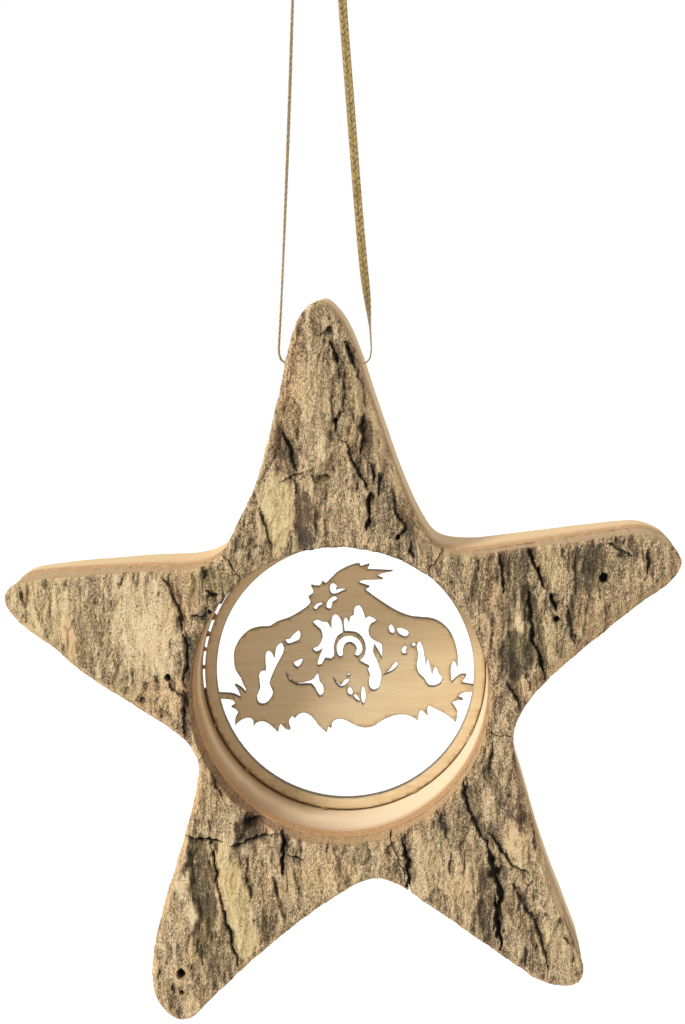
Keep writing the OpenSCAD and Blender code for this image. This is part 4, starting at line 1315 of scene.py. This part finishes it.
def panel_material(context):
    """Thin light sheet: level grain, a brown halo along the cuts, and burnt cut walls.

    The walls are found by the surface's own direction in the object: they face across its depth.
    """
    colours = context.scene.star_colours
    made, tree, shader = new_material("Laser-cut sheet", 0.62)
    wide = speckle(tree, (0.10, 0.3, 0.9), 3.0, 0.55)
    fine = speckle(tree, (0.5, 3.0, 6.0), 2.0, 0.6)
    grain = both(tree, wide, 0.6, fine, 0.4)
    base = blend(tree, over(tree, grain, 0.38, 2.6), colours.panel, colours.panel_grain)
    away = maths(tree, "DIVIDE", attribute(tree, "away"), 0.35)
    halo = maths(tree, "POWER", maths(tree, "SUBTRACT", 1.0, away, clamp=True), 2.0)
    base = tint(tree, base, halo, 0.4, colours.scorch)
    facing = add_node(tree, "ShaderNodeTexCoord").outputs["Normal"]
    parts = add_node(tree, "ShaderNodeSeparateXYZ", {0: facing})
    wall = maths(tree, "LESS_THAN", maths(tree, "ABSOLUTE", parts.outputs["Y"]), 0.5)
    burnt = maths(tree, "MULTIPLY_ADD", fine, 0.3, 0.72)
    base = tint(tree, base, wall, burnt, colours.scorch)
    dress(tree, shader, base, grain, 0.03)
    return made


# The glue

# Distance of the glue from the window's centre, and rows and columns of a bead and of a seam
GLUE_R = (PANEL_R + WINDOW_R) / 2
BEAD_ROWS, BEAD_COLUMNS = 11, 16
SEAM_COLUMNS = 10


class WOODENSTAR_OT_glue(bpy.types.Operator):
    """Builds the beads of dried glue between the sheet's rim and the window's wall"""

    bl_idname = "woodenstar.glue"
    bl_label = "Glue"

    def execute(self, context):
        pieces = [self.bead(number, math.radians(a)) for number, a in enumerate(BEAD_ANGLES)]
        pieces += [self.seam(*ends, 300 + number) for number, ends in enumerate(GLUE_SEAMS)]
        starts = np.cumsum([0] + [len(points) for points, _ in pieces])
        piece = new_piece(
            "dried_glue", np.concatenate([points for points, _ in pieces]),
            np.concatenate([faces + start for (_, faces), start in zip(pieces, starts)]),
            glue_material(context),
        )
        work = welded(piece.data)
        bmesh.ops.recalc_face_normals(work, faces=work.faces)
        work.to_mesh(piece.data)
        work.free()
        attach(piece, "ornament")
        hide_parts("glue_beads")
        return {"FINISHED"}

    def bead(self, number, angle):
        """An uneven ball of glue, longer along the rim than across it, and its faces."""
        up = np.linspace(-math.pi / 2, math.pi / 2, BEAD_ROWS)[:, None]
        turn = np.arange(BEAD_COLUMNS)[None, :] * TURN / BEAD_COLUMNS
        lumps = 1 + 0.15 * noise(turn * 1.3 + up, up * 1.7 + turn * 0, 200 + number)
        along = lumps * np.cos(up) * np.cos(turn) * (0.55 + 0.2 * math.sin(7 * number))
        reach = GLUE_R + lumps * np.cos(up) * np.sin(turn) * 0.34
        x = reach * math.cos(angle) - along * math.sin(angle)
        z = reach * math.sin(angle) + along * math.cos(angle)
        y = PANEL_FRONT + 0.35 + lumps * np.sin(up) * 0.75
        return placed(x, y, z), grid_faces(BEAD_ROWS, BEAD_COLUMNS, closed=False)

    def seam(self, begin, end, seed):
        """A thin uneven line of glue behind the rim, and its faces: an oval tube round the window
        whose size goes by a low power of half a sine, so that both ends close in a point."""
        rows = end - begin + 2
        heading = np.radians(np.linspace(begin, end, rows))[:, None]
        turn = np.arange(SEAM_COLUMNS)[None, :] * TURN / SEAM_COLUMNS
        fade = np.maximum(np.sin(np.linspace(0, math.pi, rows)), 0)[:, None] ** 0.15
        size = fade * (1 + 0.2 * noise(heading * 22, turn * 0 + 0.5, seed))
        reach = GLUE_R + 0.3 * size * np.cos(turn)
        y = BACK_Y - 0.42 + 0.36 * size * np.sin(turn)
        points = placed(reach * np.cos(heading), y, reach * np.sin(heading))
        return points, grid_faces(rows, SEAM_COLUMNS, closed=False)


def glue_material(context):
    """Dried glue: glossy, cloudy brown."""
    colours = context.scene.star_colours
    made, tree, shader = new_material("Dried glue", 0.3, Coat_Weight=0.4, Coat_Roughness=0.15)
    cloud = speckle(tree, (2.5, 2.5, 2.5))
    base = tint(tree, colours.glue, cloud, 0.6, colours.inner_dark)
    dress(tree, shader, base, cloud, 0.08)
    return made


# The cord and its knot

# Rings of the braid to a stitch, and columns round the cord and round the knot
RINGS, CORD_COLUMNS, KNOT_COLUMNS = 11, 22, 20
# Size of the knot's loop and distance between its rings, in millimetres
KNOT_LOBE, KNOT_STEP = 0.42, 0.09
# The knot's two tails, from its middle
TAILS = (
    ((-1.9, -0.5, -6.4), (-1.5, -0.35, -4.6), (-1.0, -0.2, -2.8), (-0.6, 0, -1.2)),
    ((0.8, 0.1, -1.2), (1.4, 0.3, -2.9), (2.0, 0.5, -4.6), (2.3, 0.45, -6.6)),
)


def cord_frame(points, twist):
    """Width and flat directions at each point of a closed line.

    The width starts as the depth axis less its part along the run, and turns about the run.
    """
    run = unit(np.roll(points, -1, axis=0) - np.roll(points, 1, axis=0))
    wide = unit(np.array((0.0, 1.0, 0.0)) - run[:, 1:2] * run)
    flat = np.cross(run, wide)
    c, s = np.cos(twist)[:, None], np.sin(twist)[:, None]
    return wide * c + flat * s, flat * c - wide * s


def braid(points, wide, flat, along, width, thickness, pitch, columns):
    """A flat braid round a line: a rounded flat ring at each point, raised where a stitch lies.

    The ring is a cosine by a sine, squared off by powers below 1. Stitches slant down both ways
    from a groove in the middle, as ribs that go by a sine. Gives the points and how high on its
    stitch each one lies, from 0 to 1.
    """
    turn = (np.arange(columns) + 0.5) * TURN / columns
    across = np.sign(np.cos(turn)) * np.abs(np.cos(turn)) ** 0.75
    through = np.sign(np.sin(turn)) * np.abs(np.sin(turn)) ** 0.85
    side = np.abs(across)[None, :]
    phase = along[:, None] / pitch + 0.75 * side + 0.5 * (np.sign(across)[None, :] > 0)
    rib = np.abs(np.sin(math.pi * phase)) ** 0.7
    crest = rib * (0.35 + 0.65 * smooth(side / 0.22))
    loose = noise(along[:, None] / 0.35 + 0 * side, 3.0 * across[None, :] + 0 * phase, 71)
    half_w = width / 2 * (0.86 + 0.09 * rib + 0.05 * loose)
    half_t = thickness / 2 * (0.45 + 0.55 * crest)
    place = points[:, None, :] + wide[:, None, :] * (across * half_w)[..., None]
    place = place + flat[:, None, :] * (through * half_t)[..., None]
    return place, crest


class WOODENSTAR_OT_cord(bpy.types.Operator):
    """Builds the flat gold braid through its hole, and the knot that joins its ends"""

    bl_idname = "woodenstar.cord"
    bl_label = "Gold cord"

    def execute(self, context):
        sizes = context.scene.star_sizes
        width, thickness = sizes.cord_width * MM, sizes.cord_thickness * MM
        material = cord_material(context)
        line = curve_through(CORD_ROUTE, 24)
        length = run_along(np.vstack((line, line[:1])))[-1]
        stitches = round(length / (sizes.braid_pitch * MM))
        pitch = length / stitches
        rings = stitches * RINGS
        route = even_line(line, rings)
        points = route[:, :3]
        wide, flat = cord_frame(points, np.radians(route[:, 3]))
        along = np.arange(rings) * length / rings
        # The right strand is thinner on its way down to the hole
        near_hole = smooth((-50 - points[:, 2]) / 26) * smooth(points[:, 0] / 4)
        thin = thickness * (1 - 0.35 * near_hole)[:, None]
        place, crest = braid(points, wide, flat, along, width, thin, pitch, CORD_COLUMNS)
        cord = new_piece(
            "braided_cord", place.reshape(-1, 3), grid_faces(rings, CORD_COLUMNS), material,
            {"crest": crest}, sharp=80,
        )
        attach(cord, "hanger")
        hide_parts("hanging_cord")
        knot = self.knot(width, thickness, pitch, material)
        return {"FINISHED"}

    def knot(self, width, thickness, pitch, material):
        """An overhand knot: a three-lobed loop whose two ends leave as loose tails.

        The loop goes across by sin t and twice sin 2t, in depth by cos t less twice cos 2t, and
        down by sin 3t. The braid narrows to each tail's end, and one point closes it there.
        """
        t = np.linspace(0.06, 0.94, 26)[:, None] * TURN
        loop = np.hstack((
            KNOT_LOBE * (np.sin(t) + 2 * np.sin(2 * t)),
            KNOT_LOBE * (np.cos(t) - 2 * np.cos(2 * t)) * 0.8,
            -0.95 * np.sin(3 * t),
        ))
        line = curve_through(np.vstack((TAILS[0], loop, TAILS[1])) + KNOT_AT, 20, closed=False)
        length = run_along(line)[-1]
        rings = int(length / KNOT_STEP)
        at = np.linspace(0, length, rings)
        points = even_line(line, rings, closed=False)
        ends = np.vstack((2 * points[0] - points[1], points, 2 * points[-1] - points[-2]))
        tangent = unit(ends[2:] - ends[:-2])
        wide = unit(np.cross(tangent, (0.25, 1.0, 0.1)))
        flat = np.cross(tangent, wide)
        place, crest = braid(
            points, wide, flat, at, width * 0.92, thickness * 1.15, pitch, KNOT_COLUMNS
        )
        fray = 0.25 + 0.75 * smooth(np.minimum(at, length - at) / 0.5)
        place = mix(points[:, None, :], place, fray[:, None, None])
        # A fan of faces closes each end at a point of its own
        pole = rings * KNOT_COLUMNS + np.zeros(KNOT_COLUMNS, int)
        first = np.arange(KNOT_COLUMNS)
        last = first + pole - KNOT_COLUMNS
        caps = [
            np.stack((np.roll(first, -1), first, pole, pole), axis=1),
            np.stack((last, np.roll(last, -1), pole + 1, pole + 1), axis=1),
        ]
        faces = grid_faces(rings, KNOT_COLUMNS, closed=False)
        knot = new_piece(
            "tied_knot", np.vstack((place.reshape(-1, 3), points[0], points[-1])),
            np.concatenate([faces, *caps]), material,
            {"crest": np.concatenate((crest.ravel(), (0.5, 0.5)))}, sharp=80,
        )
        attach(knot, "hanger")
        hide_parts("cord_knot")
        return knot


def cord_material(context):
    """Gold braid: bright metallic crests, dark hollows and glinting threads."""
    colours = context.scene.star_colours
    made, tree, shader = new_material("Gold braid", 0.34, Specular_IOR_Level=0.6)
    thread = speckle(tree, (6.0, 6.0, 2.4), 2.0, 0.6)
    lit = both(tree, attribute(tree, "crest"), 0.7, thread, 2.4)
    lit = maths(tree, "SUBTRACT", lit, 1.1, clamp=True)
    base = blend(tree, lit, colours.cord_dark, colours.cord_gold)
    tree.links.new(times(tree, lit, 0.85), shader.inputs["Metallic"])
    dress(tree, shader, base, thread, 0.05)
    return made


# The stage

WHITE = (1.0, 1.0, 1.0, 1.0)
# The floor's half width and level in metres
FLOOR_HALF, FLOOR_Z = 3.0, -0.36
# The key's strength, its width in degrees and the way its light goes, and the surround's strength
KEY_STRENGTH, KEY_WIDTH, KEY_AIM = 2.6, 13, (0.59, 0.60, -0.54)
SOFT_STRENGTH = 0.55
# The camera's place in metres, the way it looks and its lens in millimetres
CAMERA_AT = (0.01782, -0.3129, -0.06292)
CAMERA_AIM = (-0.04458, 0.99115, -0.12509)
CAMERA_LENS = 72.62


def aim(made, direction):
    """Turns a lamp or a camera to look in a direction."""
    made.rotation_mode = "QUATERNION"
    made.rotation_quaternion = Vector(direction).to_track_quat("-Z", "Y")


def seen_rays(tree):
    """1 for the rays by which the camera, metal and glass see the background, and 0 for the rest."""
    path = add_node(tree, "ShaderNodeLightPath").outputs
    seen = maths(tree, "MAXIMUM", path["Is Camera Ray"], path["Is Transmission Ray"])
    return maths(tree, "MAXIMUM", seen, path["Is Glossy Ray"])


class WOODENSTAR_OT_stage(bpy.types.Operator):
    """Sets the pale floor, the soft light and the camera at the photograph's angle"""

    bl_idname = "woodenstar.stage"
    bl_label = "Stage"

    def execute(self, context):
        scene = context.scene
        scene.view_settings.view_transform = "Standard"
        self.floor(scene)
        self.light(scene)
        self.camera(scene)
        return {"FINISHED"}

    def floor(self, scene):
        """A wide flat floor under the hanging star, which shows white to the camera."""
        signs = ((-1, -1), (1, -1), (1, 1), (-1, 1))
        corners = [(FLOOR_HALF * across, FLOOR_HALF * away, FLOOR_Z) for across, away in signs]
        mesh = bpy.data.meshes.new("pale_floor")
        mesh.from_pydata(corners, [], [(0, 1, 2, 3)])
        made, tree, shader = new_material("Pale floor", 0.9)
        shader.inputs["Base Color"].default_value = opaque(scene.star_colours.floor)
        lift = times(tree, seen_rays(tree), 0.2)
        glow = add_node(tree, "ShaderNodeEmission", {"Color": WHITE, "Strength": lift})
        added = add_node(tree, "ShaderNodeAddShader", {0: shader.outputs[0], 1: glow.outputs[0]})
        tree.links.new(added.outputs[0], tree.nodes["Material Output"].inputs["Surface"])
        mesh.materials.append(made)
        piece = show("pale_floor", mesh)

    def light(self, scene):
        """A large soft key from the upper left in front, and an even pale surround."""
        lamp = bpy.data.lights.new("window_light", "SUN")
        lamp.energy = KEY_STRENGTH
        lamp.angle = math.radians(KEY_WIDTH)
        aim(show("window_light", lamp), KEY_AIM)
        world = bpy.data.worlds.new("Pale surround")
        scene.world = world
        world.use_nodes = True
        tree = world.node_tree
        tree.nodes.clear()
        soft, white = (
            add_node(tree, "ShaderNodeBackground", {"Color": WHITE, "Strength": strength}).outputs[0]
            for strength in (SOFT_STRENGTH, 1.0)
        )
        mixed = add_node(tree, "ShaderNodeMixShader", {0: seen_rays(tree), 1: soft, 2: white})
        add_node(tree, "ShaderNodeOutputWorld", {0: mixed.outputs[0]})

    def camera(self, scene):
        """The photograph's view: a long lens level with the cord's hole, a little right of it."""
        lens = bpy.data.cameras.new("front_view")
        lens.sensor_width = 36
        lens.lens = CAMERA_LENS
        lens.clip_start = 0.01
        view = show("front_view", lens)
        view.location = CAMERA_AT
        aim(view, CAMERA_AIM)
        scene.camera = view


class WOODENSTAR_PT_pieces(bpy.types.Panel):
    """Lists the star's pieces and settings in the sidebar"""

    bl_label = "Wooden star"
    bl_idname = "WOODENSTAR_PT_pieces"
    bl_space_type = "VIEW_3D"
    bl_region_type = "UI"
    bl_category = "Wooden star"

    def draw(self, context):
        for operator in OPERATORS:
            self.layout.operator(operator.bl_idname)
        for group in (context.scene.star_sizes, context.scene.star_colours):
            for name in group.__annotations__:
                self.layout.prop(group, name)


OPERATORS = (
    WOODENSTAR_OT_stage,
    WOODENSTAR_OT_cord,
    WOODENSTAR_OT_wood,
    WOODENSTAR_OT_inner_bark,
    WOODENSTAR_OT_bark,
    WOODENSTAR_OT_panel,
    WOODENSTAR_OT_glue,
)
CLASSES = (StarSizes, StarColours, *OPERATORS, WOODENSTAR_PT_pieces)


def register():
    """Registers the settings, the operators and the panel."""
    for item in CLASSES:
        bpy.utils.register_class(item)
    bpy.types.Scene.star_sizes = PointerProperty(type=StarSizes)
    bpy.types.Scene.star_colours = PointerProperty(type=StarColours)


def unregister():
    """Takes them out again."""
    del bpy.types.Scene.star_colours
    del bpy.types.Scene.star_sizes
    for item in reversed(CLASSES):
        bpy.utils.unregister_class(item)


def main():
    """Builds every piece in order."""
    register()
    fibre_group()
    growth_group()
    bpy.ops.woodenstar.stage()
    bpy.ops.woodenstar.cord()
    bpy.ops.woodenstar.wood()
    bpy.ops.woodenstar.inner_bark()
    bpy.ops.woodenstar.bark()
    bpy.ops.woodenstar.panel()
    bpy.ops.woodenstar.glue()


if __name__ == "__main__":
    main()
